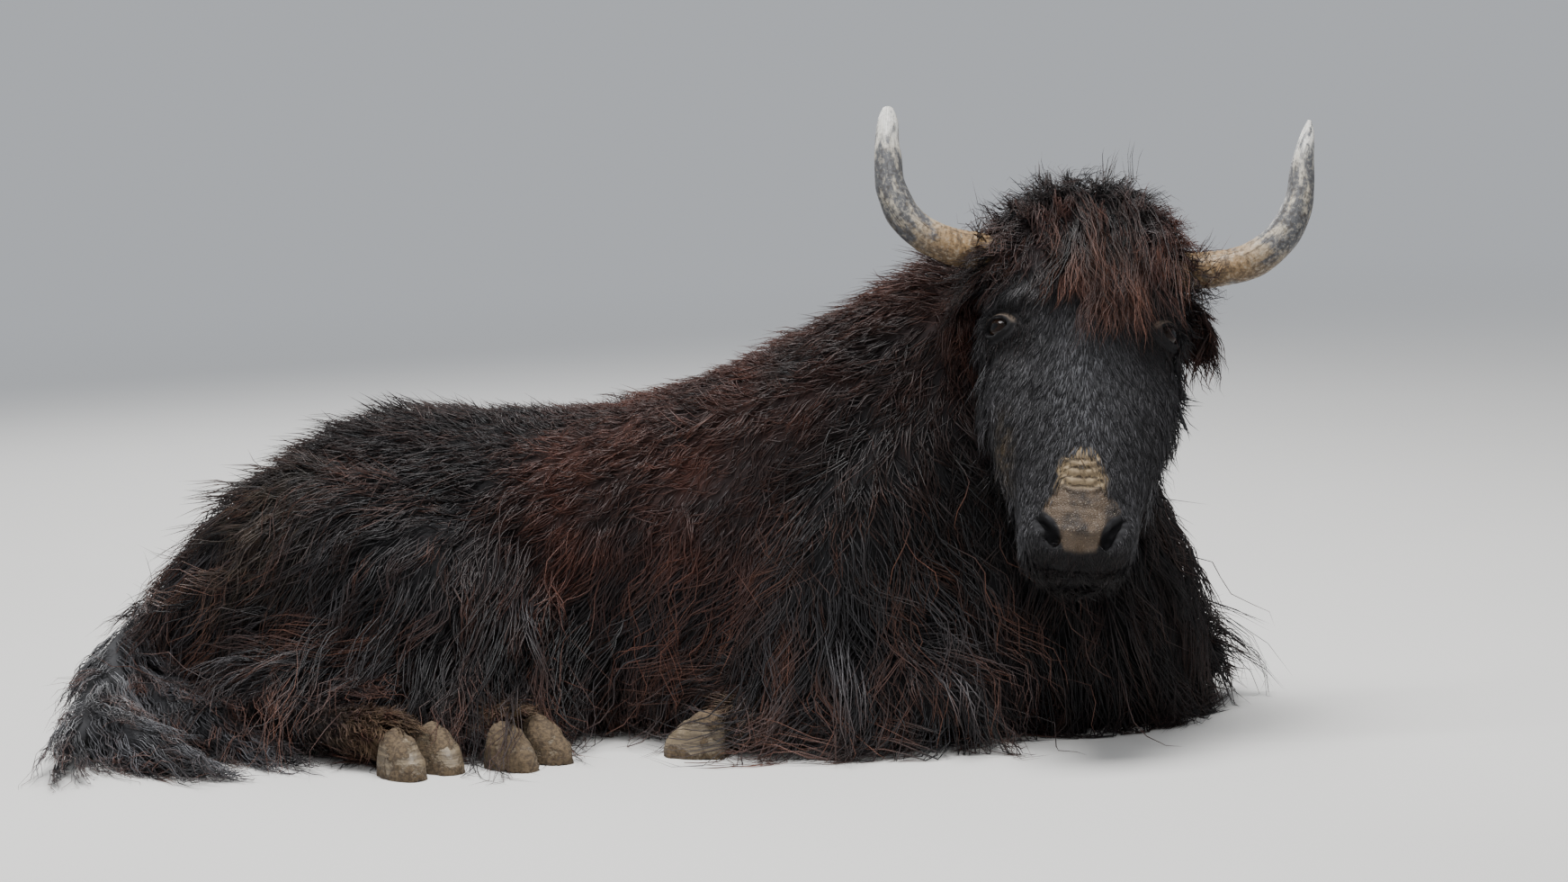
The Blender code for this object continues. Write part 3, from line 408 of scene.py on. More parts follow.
def relaxed(values: Array, edges: Array, rounds: int, share: float = 0.5,
            hold: Array | None = None) -> Array:
    """Values evened out between neighbours.

    Args:
        values: One row for each vertex.
        edges: Vertex numbers of each edge.
        rounds: How often to even them out.
        share: How far each moves towards the mean of its neighbours.
        hold: How strongly each vertex keeps its value, 0 to 1.

    Returns:
        The evened values.
    """
    count = len(values)
    ends = np.concatenate([edges, edges[:, ::-1]])
    valence = np.maximum(np.bincount(ends[:, 0], minlength=count), 1)
    pull = share if hold is None else (share * (1.0 - hold))[:, None]
    for _ in range(rounds):
        mean = np.stack([np.bincount(ends[:, 0], weights=values[ends[:, 1], axis],
                                     minlength=count) for axis in range(values.shape[1])], 1)
        values = values + (mean / valence[:, None] - values) * pull
    return values


def near_order(places: Array) -> Array:
    """Order that keeps neighbouring places together, along a Z-shaped curve."""
    low, high = places.min(axis=0), places.max(axis=0)
    cells = ((places - low) / (high - low).max() * 1023).astype(np.int64)
    code = np.zeros(len(places), np.int64)
    for bit in range(10):
        for axis in range(3):
            code |= ((cells[:, axis] >> bit) & 1) << (3 * bit + axis)
    return np.argsort(code)


def set_attribute(mesh: Mesh, name: str, kind: str, values: Array) -> None:
    """Store values on a mesh's vertices.

    Args:
        mesh: The mesh.
        name: Name of the attribute.
        kind: FLOAT_VECTOR or FLOAT_COLOR.
        values: One row for each vertex.
    """
    layer = mesh.attributes.new(name, kind, "POINT")
    if kind == "FLOAT_COLOR":
        values = np.concatenate([values, np.ones((len(values), 1))], axis=1)
    key = {"FLOAT_VECTOR": "vector", "FLOAT_COLOR": "color"}[kind]
    layer.data.foreach_set(key, np.ascontiguousarray(values, np.float32).ravel())


# Forms of the body


@dataclass
class Form:
    """Closed loft of one length of the body, and the way its hair falls."""

    region: Region
    rings: Array
    flow: Row = (0.0, 0.0, -1.0)
    points: Array = field(init=False)
    faces: list[list[int]] = field(init=False)

    def __post_init__(self) -> None:
        """Make the faces between the rings and over both ends."""
        count, sides, _ = self.rings.shape
        self.points = self.rings.reshape(-1, 3)
        self.faces = []
        for ring in range(count - 1):
            for side in range(sides):
                after = (side + 1) % sides
                base = ring * sides
                self.faces.append([base + side, base + after,
                                   base + sides + after, base + sides + side])
        self.faces.append(list(range(sides))[::-1])
        self.faces.append([(count - 1) * sides + side for side in range(sides)])


def rounded_ring(centre: Array, side: Array, rise: Array, half_width: float,
                 up: float, low: float, power: float, sides: int) -> Array:
    """Ring of points on a superellipse with its own rise and drop.

    Args:
        centre: Middle of the ring, at its level of greatest width.
        side: Unit vector across the ring.
        rise: Unit vector up the ring.
        half_width: Half the ring's width.
        up: Height above the middle.
        low: Depth below the middle.
        power: Squareness; 2 is an ellipse.
        sides: Points in the ring.

    Returns:
        The ring's points.
    """
    angle = 2 * math.pi * (np.arange(sides) + 0.5) / sides
    across = np.sign(np.cos(angle)) * np.abs(np.cos(angle)) ** (2 / power)
    height = np.sign(np.sin(angle)) * np.abs(np.sin(angle)) ** (2 / power)
    reach = np.where(height > 0, up, low)
    return centre + np.outer(across * half_width, side) + np.outer(height * reach, rise)


def ball(centre: Array, axes: Sequence[Array], rings: int = 16,
         sides: int = 28) -> Form:
    """Ellipsoid with three half axes, each a vector."""
    turn = np.linspace(0.03, math.pi - 0.03, rings)
    angle = 2 * math.pi * np.arange(sides) / sides
    first, second, third = (np.asarray(axis) for axis in axes)
    points = [centre + np.outer(np.cos(angle) * math.sin(t), first)
              + np.outer(np.sin(angle) * math.sin(t), second) - third * math.cos(t)
              for t in turn]
    return Form(Region.HEAD, np.array(points))


def tube(region: Region, rows: Array, sides: int, flow: Row = (0.0, 0.0, -1.0),
         domed: bool = True) -> Form:
    """Round tube through rows of place and radius.

    Args:
        region: Part of the body that it belongs to.
        rows: Rows of x, y, z and radius.
        sides: Points in each ring.
        flow: Way the hair falls.
        domed: Whether both ends are rounded off.

    Returns:
        The tube.
    """
    places, radii = rows[:, :3], rows[:, 3]
    if domed:
        caps = []
        for end, inner in ((0, 1), (-1, -2)):
            outward = unit(places[end] - places[inner])
            caps.append([[*(places[end] + outward * radii[end] * reach), radii[end] * width]
                         for reach, width in ((0.45, 0.89), (0.75, 0.66), (0.95, 0.3))])
        rows = np.concatenate([caps[0][::-1], rows, caps[1]])
        places, radii = rows[:, :3], rows[:, 3]
    runs = unit(np.gradient(places, axis=0))
    side = unit(np.cross(runs[0], DOWN + 0.01))
    angle = 2 * math.pi * np.arange(sides) / sides
    rings = []
    for place, run, radius in zip(places, runs, radii):
        side = unit(side - run * (side @ run))
        other = np.cross(run, side)
        rings.append(place + radius * (np.outer(np.cos(angle), side)
                                       + np.outer(np.sin(angle), other)))
    return Form(region, np.array(rings), flow)


def joined_object(name: str, forms: Sequence[Form]) -> Object:
    """One object of several forms, still apart inside it."""
    points, faces, base = [], [], 0
    for form in forms:
        points.append(form.points)
        faces += [[base + corner for corner in face] for face in form.faces]
        base += len(form.points)
    obj = add_mesh(name, np.concatenate(points), faces)
    turn_outwards(obj.data)
    return obj


def fused(obj: Object, voxel: float) -> Object:
    """The object's shells made one skin of small even faces."""
    remesh = obj.modifiers.new("fuse", "REMESH")
    remesh.mode = "VOXEL"
    remesh.voxel_size = voxel
    remesh.adaptivity = 0.0
    return applied(obj)


def cut(obj: Object, operation: str, other: Object) -> Object:
    """Apply one Boolean with another object, which is removed."""
    step = obj.modifiers.new("cut", "BOOLEAN")
    step.operation, step.object, step.solver = operation, other, "MANIFOLD"
    applied(obj)
    bpy.data.objects.remove(other, do_unlink=True)
    return obj


@dataclass
class Trunk:
    """Barrel of the body, its neck, limbs and tail, as the skin has them."""

    torso_inset: float = 0.012
    limb_inset: float = 0.007
    voxel: float = 0.0105
    below_floor: float = 0.03

    def torso(self) -> Form:
        """Barrel from the rump to the brisket, down past the floor."""
        rings = []
        for x, y, top, widest, half_width in smooth_rows(TORSO, 4):
            rings.append(rounded_ring(
                np.array([x, y, widest]), np.array([0.0, 1.0, 0.0]), -DOWN,
                max(half_width - self.torso_inset, 0.01),
                top - widest - self.torso_inset, widest + self.below_floor, 2.35, 56))
        return Form(Region.TORSO, np.array(rings))

    def neck(self) -> Form:
        """Deep neck from between the shoulders to the back of the head."""
        rings = []
        for x, y, z, heading, half_width, rise, drop in smooth_rows(NECK, 5):
            turn = math.radians(heading)
            side = np.array([-math.sin(turn), math.cos(turn), 0.0])
            rings.append(rounded_ring(np.array([x, y, z]), side, -DOWN,
                                      half_width - self.torso_inset, rise - self.torso_inset,
                                      drop - self.torso_inset, 2.2, 40))
        return Form(Region.NECK, np.array(rings))

    def limbs(self) -> list[Form]:
        """Legs and tail as tubes through their paths."""
        tubes = []
        for region, flow, rows in LIMBS:
            path = smooth_rows(rows, 4)
            path[:, 3] -= self.limb_inset
            tubes.append(tube(region, path, 22, flow))
        return tubes

    def forms(self) -> list[Form]:
        """Everything below the head."""
        return [self.torso(), self.neck(), *self.limbs()]

    def build(self) -> Object:
        """Fused and evened mesh of the trunk, cut off at the floor."""
        obj = fused(joined_object("trunk", self.forms()), self.voxel)
        points = relaxed(mesh_points(obj.data), mesh_edges(obj.data), 3)
        points[:, 2] = np.maximum(points[:, 2], 0.001)
        set_points(obj.data, points)
        return obj


@dataclass
class Head:
    """Head with its brows, lids, cheeks, nostrils, lips and ears."""

    inset: float = 0.003
    voxel: float = 0.0034
    lid_axes: Row = (0.0262, 0.0325, 0.024)
    slit_axes: Row = (0.0118, 0.0215, 0.04)
    slit_out: float = 0.02
    fine_reach: float = 0.04

    def skull(self) -> Form:
        """Skull and muzzle, wedge-shaped in section towards the jaw."""
        rings = []
        for along, half_width, front, back in smooth_rows(HEAD, 5):
            middle = front - 0.42 * (front - back)
            rings.append(rounded_ring(
                from_face((0.0, along, middle)), ASIDE, OUT, max(half_width - self.inset, 0.01),
                max(front - middle - self.inset / 2, 0.008),
                max(middle - back - self.inset, 0.008), 2.3, 72))
        return Form(Region.HEAD, np.array(rings))

    def ear(self, sign: int) -> Form:
        """Ear: a leaf-shaped shell, cupped to the front, thick at its root."""
        root = from_face((sign * EAR_ROOT[0], *EAR_ROOT[1:]))
        tip = from_face((sign * EAR_TIP[0], *EAR_TIP[1:]))
        along, length = unit(tip - root), float(np.linalg.norm(tip - root))
        back = OUT * -0.8 + ASIDE * sign * 0.6
        back = unit(back - along * (back @ along))
        side = np.cross(along, back)
        profile = smooth_rows(((-0.24, 0.34), (0.0, 0.44), (0.18, 0.8), (0.4, 1.0),
                               (0.64, 0.86), (0.84, 0.54), (0.96, 0.24)), 3)
        spread = np.radians(np.linspace(-96, 96, 15))
        rings = []
        for share, width in profile:
            reach = EAR_HALF_WIDTH * width
            wall = min(EAR_WALL, reach * 0.8) if share > 0.0 else reach * 0.8
            ring = [side * scale * math.sin(a) + back * scale * EAR_DEPTH * math.cos(a)
                    for scale, turns in ((reach, spread), (reach - wall, spread[::-1]))
                    for a in turns]
            rings.append(root + along * length * share + np.array(ring))
        return Form(Region.EAR, np.array(rings), tuple(along * 0.8 + DOWN * 0.5))

    def eye_frame(self, sign: int) -> tuple[Array, tuple[Array, ...]]:
        """Centre of an eye, and the ways down it, across it and out of it."""
        gaze = unit(ASIDE * sign * 0.8 + OUT * 0.6)
        along = unit(ALONG - gaze * (ALONG @ gaze))
        centre = from_face((sign * EYE[0], EYE[1], EYE[2]))
        return centre, (along, np.cross(gaze, along), gaze)

    def lids(self, sign: int) -> Form:
        """Swelling of both lids over the eyeball."""
        centre, axes = self.eye_frame(sign)
        return ball(centre, [axis * size for axis, size in zip(axes, self.lid_axes)])

    def about_eye(self, points: Array, sign: int) -> tuple[Array, ...]:
        """How places lie about an eye.

        Args:
            points: Places in the body's frame.
            sign: 1 for the left eye, -1 for the right.

        Returns:
            The ways down, across and ahead, the size of the slit's ring, and the distance.
        """
        centre, (down, wide, gaze) = self.eye_frame(sign)
        local = points - centre
        fall, across = local @ down, local @ wide
        ring = np.sqrt(fall ** 2 + (across * EYE_SLENDER) ** 2)
        return fall, across, local @ gaze, ring, np.linalg.norm(local, axis=1)

    def lid_folds(self, points: Array) -> Array:
        """Rise of the rolled rims, the creases and the bag about both eyes."""
        rise = np.zeros(len(points))
        for sign in (-1, 1):
            fall, _, ahead, arc, apart = self.about_eye(points, sign)
            near = step_up(0.046, 0.036, apart) * (ahead > 0)
            upper, lower = step_up(0.003, -0.005, fall), step_up(-0.003, 0.005, fall)
            folds = 0.0012 * np.exp(-((arc - 0.0132) / 0.0014) ** 2)
            for level, width, upper_height, lower_height in (
                    (0.0178, 0.0013, -0.002, -0.0012), (0.021, 0.002, 0.002, 0.0012),
                    (0.025, 0.0013, -0.0014, -0.001), (0.029, 0.0024, 0.0016, 0.0004)):
                height = upper * upper_height + lower * lower_height
                folds = folds + height * np.exp(-((arc - level) / width) ** 2)
            rise += folds * near
        return rise

    def nostril(self, sign: int) -> list[Form]:
        """Comma-shaped hollow: a round well with a slit that runs up and out."""
        slant = unit(ASIDE * sign * 0.62 - ALONG * 0.78)
        across = np.cross(OUT, slant)
        well = from_face((sign * (NOSTRIL[0] - 0.004), NOSTRIL[1] + 0.011, NOSTRIL[2]))
        slit = from_face((sign * (NOSTRIL[0] + 0.004), NOSTRIL[1] - 0.002, NOSTRIL[2]))
        return [ball(well, (slant * 0.014, across * 0.0105, OUT * 0.032)),
                ball(slit, (slant * 0.024, across * 0.007, OUT * 0.026))]

    def forms(self) -> list[Form]:
        """Everything that is fused into the head."""
        muzzle = ball(from_face((0, 0.428, -0.05)), (ASIDE * 0.071, ALONG * 0.03, OUT * 0.049))
        chin = ball(from_face((0, 0.446, -0.082)), (ASIDE * 0.055, ALONG * 0.032, OUT * 0.036))
        return [self.skull(), self.ear(-1), self.ear(1), muzzle, chin]

    def sculpt(self, points: Array, normals: Array) -> Array:
        """Raise and sink the head's surface into its folds and hollows.

        Args:
            points: Places of the head's vertices in the body's frame.
            normals: Their normals.

        Returns:
            The moved places.
        """
        local = to_face(points)
        out = np.abs(local) * (1, 0, 0) + local * (0, 1, 1)
        rise = 0.006 * patch(out, (0.09, 0.108, -0.02), (0.03, 0.014, 0.05))
        rise -= 0.004 * patch(out, (0.084, 0.188, -0.012), (0.018, 0.026, 0.04))
        rise += 0.005 * patch(out, (0.108, 0.25, -0.05), (0.02, 0.065, 0.03))
        rise -= 0.005 * patch(out, (0.108, 0.3, -0.105), (0.03, 0.07, 0.04))
        rise += 0.0065 * patch(out, (0.058, 0.43, -0.012), (0.016, 0.024, 0.02))
        rise += 0.0035 * patch(out, (0.0, 0.27, 0.0), (0.032, 0.08, 0.04))
        rise -= 0.003 * patch(out, (0.0, 0.452, -0.02), (0.004, 0.018, 0.02))
        front = step_up(-0.05, -0.02, local[:, 2])
        band = step_up(0.03, 0.02, out[:, 0]) * front
        band *= step_up(0.326, 0.34, out[:, 1]) * step_up(0.386, 0.374, out[:, 1])
        bend = out[:, 1] + 0.35 * out[:, 0] ** 2 / 0.03 + 0.0012 * drift(points, 0.02, 5)
        rise += band * 0.0016 * np.sin(2 * math.pi * bend / 0.0125)
        rise += 0.0012 * drift(points, 0.016, 6) * step_up(0.38, 0.4, out[:, 1]) * front
        mouth = self.mouth_height(local)
        rise -= 0.0062 * np.exp(-(mouth / 0.0026) ** 2) * step_up(0.345, 0.372, out[:, 1])
        rise += 0.0022 * np.exp(-((np.abs(mouth) - 0.008) / 0.004) ** 2) \
            * step_up(0.4, 0.43, out[:, 1])
        rise += self.lid_folds(points)
        return points + normals * rise[:, None]

    def mouth_height(self, local: Array) -> Array:
        """Height over the plane of the mouth of places in the head's frame."""
        front, back = np.array([0, 0.49, -0.04]), np.array([0, 0.365, -0.098])
        lift = unit(np.cross(np.array([1.0, 0.0, 0.0]), back - front))
        return (local - front) @ lift + 0.004 * np.cos(local[:, 0] / 0.03)

    def build(self) -> Object:
        """Fused head with lids, nostrils and folds."""
        solid, hollows = self.forms(), []
        for sign in (-1, 1):
            solid.append(self.lids(sign))
            centre, (down, wide, gaze) = self.eye_frame(sign)
            slit = [down * self.slit_axes[0], wide * self.slit_axes[1], gaze * self.slit_axes[2]]
            hollows.append(ball(centre + gaze * self.slit_out, slit))
            hollows += self.nostril(sign)
        obj = fused(joined_object("head_skin", solid), self.voxel)
        for hollow in hollows:
            cut(obj, "DIFFERENCE", joined_object("hollow", [hollow]))
        obj = fused(obj, self.voxel)
        set_points(obj.data, relaxed(mesh_points(obj.data), mesh_edges(obj.data), 2))
        for reach in (self.fine_reach, self.fine_reach * 0.85):
            self.refine(obj.data, reach)
        edges = mesh_edges(obj.data)
        points = relaxed(mesh_points(obj.data), edges, 2)
        set_points(obj.data, points)
        points = self.sculpt(points, mesh_normals(obj.data))
        set_points(obj.data, relaxed(points, edges, 1, 0.25))
        return obj

    def refine(self, mesh: Mesh, reach: float) -> None:
        """Split the faces round the eyes, and once those of the muzzle's front."""
        points = mesh_points(mesh)
        fine = np.zeros(len(points), bool)
        for sign in (-1, 1):
            fine |= np.linalg.norm(points - self.eye_frame(sign)[0], axis=1) < reach
        if reach == self.fine_reach:
            local = to_face(points)
            fine |= (local[:, 1] > 0.31) & (local[:, 2] > -0.07) & (abs(local[:, 0]) < 0.07)
        with edited(mesh) as bm:
            chosen = [edge for edge in bm.edges if all(fine[end.index] for end in edge.verts)]
            bmesh.ops.subdivide_edges(bm, edges=chosen, cuts=1, use_grid_fill=True)
            bmesh.ops.triangulate(bm, faces=[face for face in bm.faces if len(face.verts) > 4])


# The coat's map


class CoatMap:
    """Lie, length, colour marks, painted shade and painted sheen of the coat at each vertex of the
    skin.
    """

    def __init__(self, obj: Object, forms: Sequence[Form]) -> None:
        """Read the skin and work out its coat.

        Args:
            obj: The skin, with triangles only.
            forms: The forms that it was made from.
        """
        mesh = obj.data
        self.points, self.normals = mesh_points(mesh), mesh_normals(mesh)
        self.edges = mesh_edges(mesh)
        self.triangles = read(mesh.polygons, "vertices", 3, np.int32)
        corners = self.points[self.triangles]
        cross = np.cross(corners[:, 1] - corners[:, 0], corners[:, 2] - corners[:, 0])
        self.areas = np.linalg.norm(cross, axis=1) / 2
        self.order = near_order(corners.mean(axis=1))
        self.tree = BVHTree.FromPolygons(self.points.tolist(), self.triangles.tolist())
        self.face = to_face(self.points)
        self.halves = (np.abs(self.face[:, 0]), self.face[:, 1], self.face[:, 2])
        self.region, self.lie = self.nearest_forms(forms)
        self.head = self.blend(Region.HEAD)
        self.set_lie()
        self.set_lengths()
        self.set_marks_shade_and_sheen()

    def nearest_forms(self, forms: Sequence[Form]) -> tuple[Array, Array]:
        """Region of each vertex and the flow of the form nearest to it."""
        points, faces, owner, base = [], [], [], 0
        for index, form in enumerate(forms):
            points += form.points.tolist()
            faces += [[base + corner for corner in face] for face in form.faces]
            owner += [index] * len(form.faces)
            base += len(form.points)
        tree = BVHTree.FromPolygons(points, faces)
        found = np.array([owner[tree.find_nearest(place)[2]] for place in self.points.tolist()])
        regions = np.array([form.region.value for form in forms])
        flows = np.array([form.flow for form in forms], float)
        return regions[found], flows[found]

    def blend(self, *regions: Region, rounds: int = 6) -> Array:
        """Share of each vertex that belongs to the regions, soft at their edges."""
        inside = np.isin(self.region, [region.value for region in regions]).astype(float)
        return relaxed(inside[:, None], self.edges, rounds)[:, 0]

    def set_lie(self) -> None:
        """Work out the way the hair points, along the skin."""
        x, y, z = self.points.T
        side = np.sign(y)
        back = step_up(0.55, 0.95, self.normals[:, 2])
        sweep = -0.75 * step_up(0.16, 0.4, z) - 0.25
        sweep = np.where(x > 0.56, -0.15, sweep)
        body = np.column_stack([sweep, 0.25 * side * back, -1.0 + 0.6 * back])
        body += 0.5 * self.turning(0.24, 11) + 0.3 * self.turning(0.09, 14)
        trunk = np.isin(self.region, (Region.TORSO.value, Region.NECK.value))
        lie = np.where(trunk[:, None], body, unit(self.lie))
        rear = (self.region == Region.UPPER_LEG.value) & (x < 0.1)
        fan = np.array([-0.55, 0.0, -0.75])
        high = step_up(0.2, 0.32, z)[:, None]
        lie = np.where(rear[:, None], lie * (1 - high) + fan * high, lie)
        fore = (self.region == Region.UPPER_LEG.value) & (x > 0.22)
        ahead = np.where(y < 0, np.minimum((x - 0.42) * 3.2, 0.5), np.minimum((x - 0.42) * 2, 0.0))
        spread = np.column_stack([ahead, 0.0 * x, -1.0 + 0.0 * x])
        spread += 0.3 * self.turning(0.1, 17)
        lie = np.where(fore[:, None], spread, lie)
        w, _, f = self.face.T
        down_face = ALONG + np.outer(np.sign(w) * (0.15 + 3.0 * np.abs(w)), ASIDE)
        down_face += np.outer(step_up(-0.06, -0.14, f) * 0.8, DOWN)
        lie = np.where((self.region == Region.HEAD.value)[:, None], down_face, lie)
        lie = lie - self.normals * np.sum(lie * self.normals, axis=1, keepdims=True)
        lie = relaxed(unit(lie), self.edges, 14)
        lie = lie - self.normals * np.sum(lie * self.normals, axis=1, keepdims=True)
        self.lie = unit(lie)

    def turning(self, size: float, seed: int) -> Array:
        """Smooth noise of vectors that are half as strong upwards."""
        parts = [drift(self.points, size, seed + axis) for axis in range(3)]
        return np.column_stack([parts[0], parts[1], 0.5 * parts[2]])

    def set_lengths(self) -> None:
        """Work out length, lift and cover of the hair."""
        x, _, z = self.points.T
        low = step_up(0.36, 0.15, z)
        trunk = 0.044 + 0.125 * low ** 1.1 + 0.05 * step_up(0.6, 0.72, x)
        trunk += 0.028 * step_up(-0.15, -0.35, x) * (1 - low)
        trunk += 0.022 * patch(self.points, (0.46, 0.0, 0.6), (0.14, 0.3, 0.12))
        upper = 0.085 + 0.11 * step_up(0.32, 0.18, z) * step_up(0.74, 0.64, x)
        upper *= 1 - 0.55 * step_up(0.68, 0.76, x)
        leg, tail = 0.026, 0.15
        neck = 0.085 + 0.06 * step_up(0.5, 0.3, z)
        values = np.full(len(x), 0.03)
        for region, length in ((Region.TORSO, trunk), (Region.UPPER_LEG, upper),
                               (Region.LOWER_LEG, leg * 1.2), (Region.FOOT, leg * 1.2),
                               (Region.TAIL, tail), (Region.NECK, neck),
                               (Region.HEAD, self.face_lengths()), (Region.EAR, leg * 0.9)):
            values = np.where(self.region == region.value, length, values)
        self.length = relaxed(values[:, None], self.edges, 8, hold=self.head)[:, 0]
        self.length *= 1.0 + 0.16 * drift(self.points, 0.09, 21)
        back = step_up(0.35, 0.9, self.normals[:, 2])
        self.lift = np.radians(16 + 22 * back) * (1 - self.head) + self.head * self.face_lift()
        self.lift *= 1.0 + 0.3 * drift(self.points, 0.05, 22)
        croup = patch(self.points, (-0.5, 0.0, 0.36), (0.16, 0.3, 0.12))
        self.lift += np.radians(22) * croup
        self.lift += np.radians(16) * step_up(0.2, 0.06, z) * (1 - self.head)
        self.cover = self.covering()

    def face_lift(self) -> Array:
        """Lift of the hair over the head: flat in front, fuller on the cheeks."""
        sides = step_up(-0.02, -0.08, self.face[:, 2])
        return np.radians(14 + 20 * sides)

    def face_lengths(self) -> Array:
        """Length of the hair over the head."""
        _, s, f = self.halves
        front = step_up(-0.09, -0.025, f)
        length = 0.048 * (1 - front) + 0.019 * front
        length += 0.022 * step_up(0.12, 0.04, s) * front
        length += 0.03 * step_up(-0.12, -0.17, f) * step_up(0.42, 0.3, s)
        length *= 1 - 0.48 * step_up(0.33, 0.42, s)
        return np.maximum(length * (0.4 + 0.6 * step_up(0.02, 0.05, self.from_eye())), 0.0045)

    def from_eye(self, lower: float = 0.0) -> Array:
        """Distance from the nearest eye, or from a place that much lower."""
        w, s, f = self.halves
        return np.sqrt((w - EYE[0]) ** 2 + (s - EYE[1] - lower) ** 2 + (f + 0.035) ** 2)

    def covering(self) -> Array:
        """Share of the skin that hair covers: none on the nose pad and the lids."""
        near = (1 - self.nose_pad()) * step_up(0.8, 1.05, self.from_nostril())
        near *= np.where(self.head > 0.5, step_up(0.014, 0.022, self.from_eye()), 1.0)
        near *= 1 - 0.85 * self.nose_band()
        near *= step_up(0.002, 0.012, self.points[:, 2])
        below = step_up(-0.3, -0.7, self.normals[:, 2]) * step_up(0.16, 0.08, self.points[:, 2])
        return near * (1 - 0.85 * below)

    def from_nostril(self) -> Array:
        """Distance from the middle of the nearest nostril, 1 at its rim."""
        w, s, f = self.halves
        w, s = w - NOSTRIL[0], s - NOSTRIL[1]
        along, across = 0.5 * w - 0.86 * s, 0.86 * w + 0.5 * s
        return np.sqrt((along / 0.028) ** 2 + (across / 0.0125) ** 2 + ((f + 0.01) / 0.06) ** 2)

    def nose_pad(self) -> Array:
        """Share of each vertex that is bare nose."""
        w, s, f = self.halves
        edge = 0.036 + 0.012 * step_up(0.375, 0.405, s) - 0.028 * step_up(0.408, 0.457, s)
        edge += 0.002 * drift(self.points, 0.02, 31)
        pad = step_up(edge + 0.003, edge - 0.003, w) * step_up(0.7, 0.95, self.from_nostril())
        pad = pad * step_up(0.368, 0.38, s + 0.1 * w) * step_up(-0.062, -0.046, f)
        pad = pad * step_up(0.458, 0.449, s + 6.0 * w * w)
        return pad * self.head

    def nose_band(self) -> Array:
        """Share of each vertex in the pale creased band over the nose."""
        w, s, f = self.halves
        edge = 0.0305 * np.sqrt(np.clip((s - 0.316) / 0.026, 0.0, 1.0))
        band = step_up(edge + 0.003, edge - 0.005, w + 0.003 * drift(self.points, 0.02, 32))
        band = band * step_up(0.392, 0.376, s) * step_up(0.316, 0.324, s)
        return band * step_up(-0.05, -0.03, f) * self.head

    def set_marks_shade_and_sheen(self) -> None:
        """Work out rust, slate, mud and tip colours, alike for skin and coat. The slate is pale
        hair in the tail and painted sheen elsewhere, and painted shade darkens the chest, shoulder
        and top of the rump.
        """
        p, (w, s, f) = self.points, self.halves
        x, _, z = p.T
        body = 1 - self.head
        noise = drift(p, 0.12, 41) * 0.5 + 0.5
        saddle = step_up(-0.12, 0.04, x) * step_up(0.44, 0.3, x) * step_up(0.19, 0.27, z)
        ridge = step_up(0.33, 0.44, z) * step_up(-0.1, 0.1, x)
        rump = patch(p, (-0.44, -0.12, 0.36), (0.1, 0.2, 0.07))
        rust = np.maximum(saddle, 0.75 * ridge) * (0.45 + 0.55 * noise) + 0.1 * rump
        rust += 0.4 * patch(p, (0.32, -0.28, 0.25), (0.08, 0.1, 0.05))
        rust += 0.4 * patch(p, (0.12, -0.27, 0.08), (0.1, 0.08, 0.05))
        # Painted shade: rust taken off the chest and shoulder, where the head and neck shade them.
        rust *= 1 - 0.9 * step_up(0.36, 0.46, x) * step_up(0.5, 0.42, z)
        rust *= body
        mop = step_up(0.1, 0.02, s + 0.05 * step_up(0.08, 0.11, w))
        mop *= step_up(-0.14, -0.06, f) * self.head
        mop *= np.maximum(step_up(-0.02, 0.01, s), step_up(0.05, 0.08, w))
        # Slate on the forelock: painted sheen.
        grey_mop = 0.3 * mop * step_up(0.1, 0.06, w)
        mop *= 1 - self.blend(Region.EAR)
        rust += 0.85 * mop * (0.3 + 0.7 * step_up(-0.1, 0.04, self.face[:, 0]))
        self.rust = np.clip(rust, 0.0, 1.0)
        tail = self.blend(Region.TAIL)
        # Slate: pale hair in the tail, and painted sheen everywhere else, standing for the bluish
        # highlights on the black hair of face, cheeks, forelock, muzzle sides, forelegs, thighs
        # and low flanks.
        grey_and_sheen = 0.95 * tail + 0.75 * patch(self.face, (0.0, 0.235, 0.0), (0.035, 0.085, 0.05))
        # Painted sheen over the head, kept off the dark surround of the eyes.
        face_sheen = 0.56 * step_up(0.024, 0.06, self.from_eye(0.006))
        face_sheen = face_sheen * step_up(0.46, 0.44, s - 0.25 * f) * self.head
        grey_and_sheen += grey_mop + face_sheen * step_up(0.03, 0.16, s) * step_up(-0.16, -0.05, f)
        grey_and_sheen += 0.1 * body * step_up(0.0, 0.8, drift(p, 0.1, 42)) * step_up(0.3, 0.2, z)
        fore = np.clip(1.6 * patch(p, (0.44, -0.3, 0.15), (0.28, 0.2, 0.17)), 0, 1) * body
        thigh = np.clip(1.6 * patch(p, (-0.36, -0.3, 0.2), (0.24, 0.2, 0.15)), 0, 1)
        grey_and_sheen += 0.4 * fore + 0.3 * thigh
        grey_and_sheen += 0.3 * patch(np.abs(self.face), (0.07, 0.405, 0.07), (0.022, 0.06, 0.05))
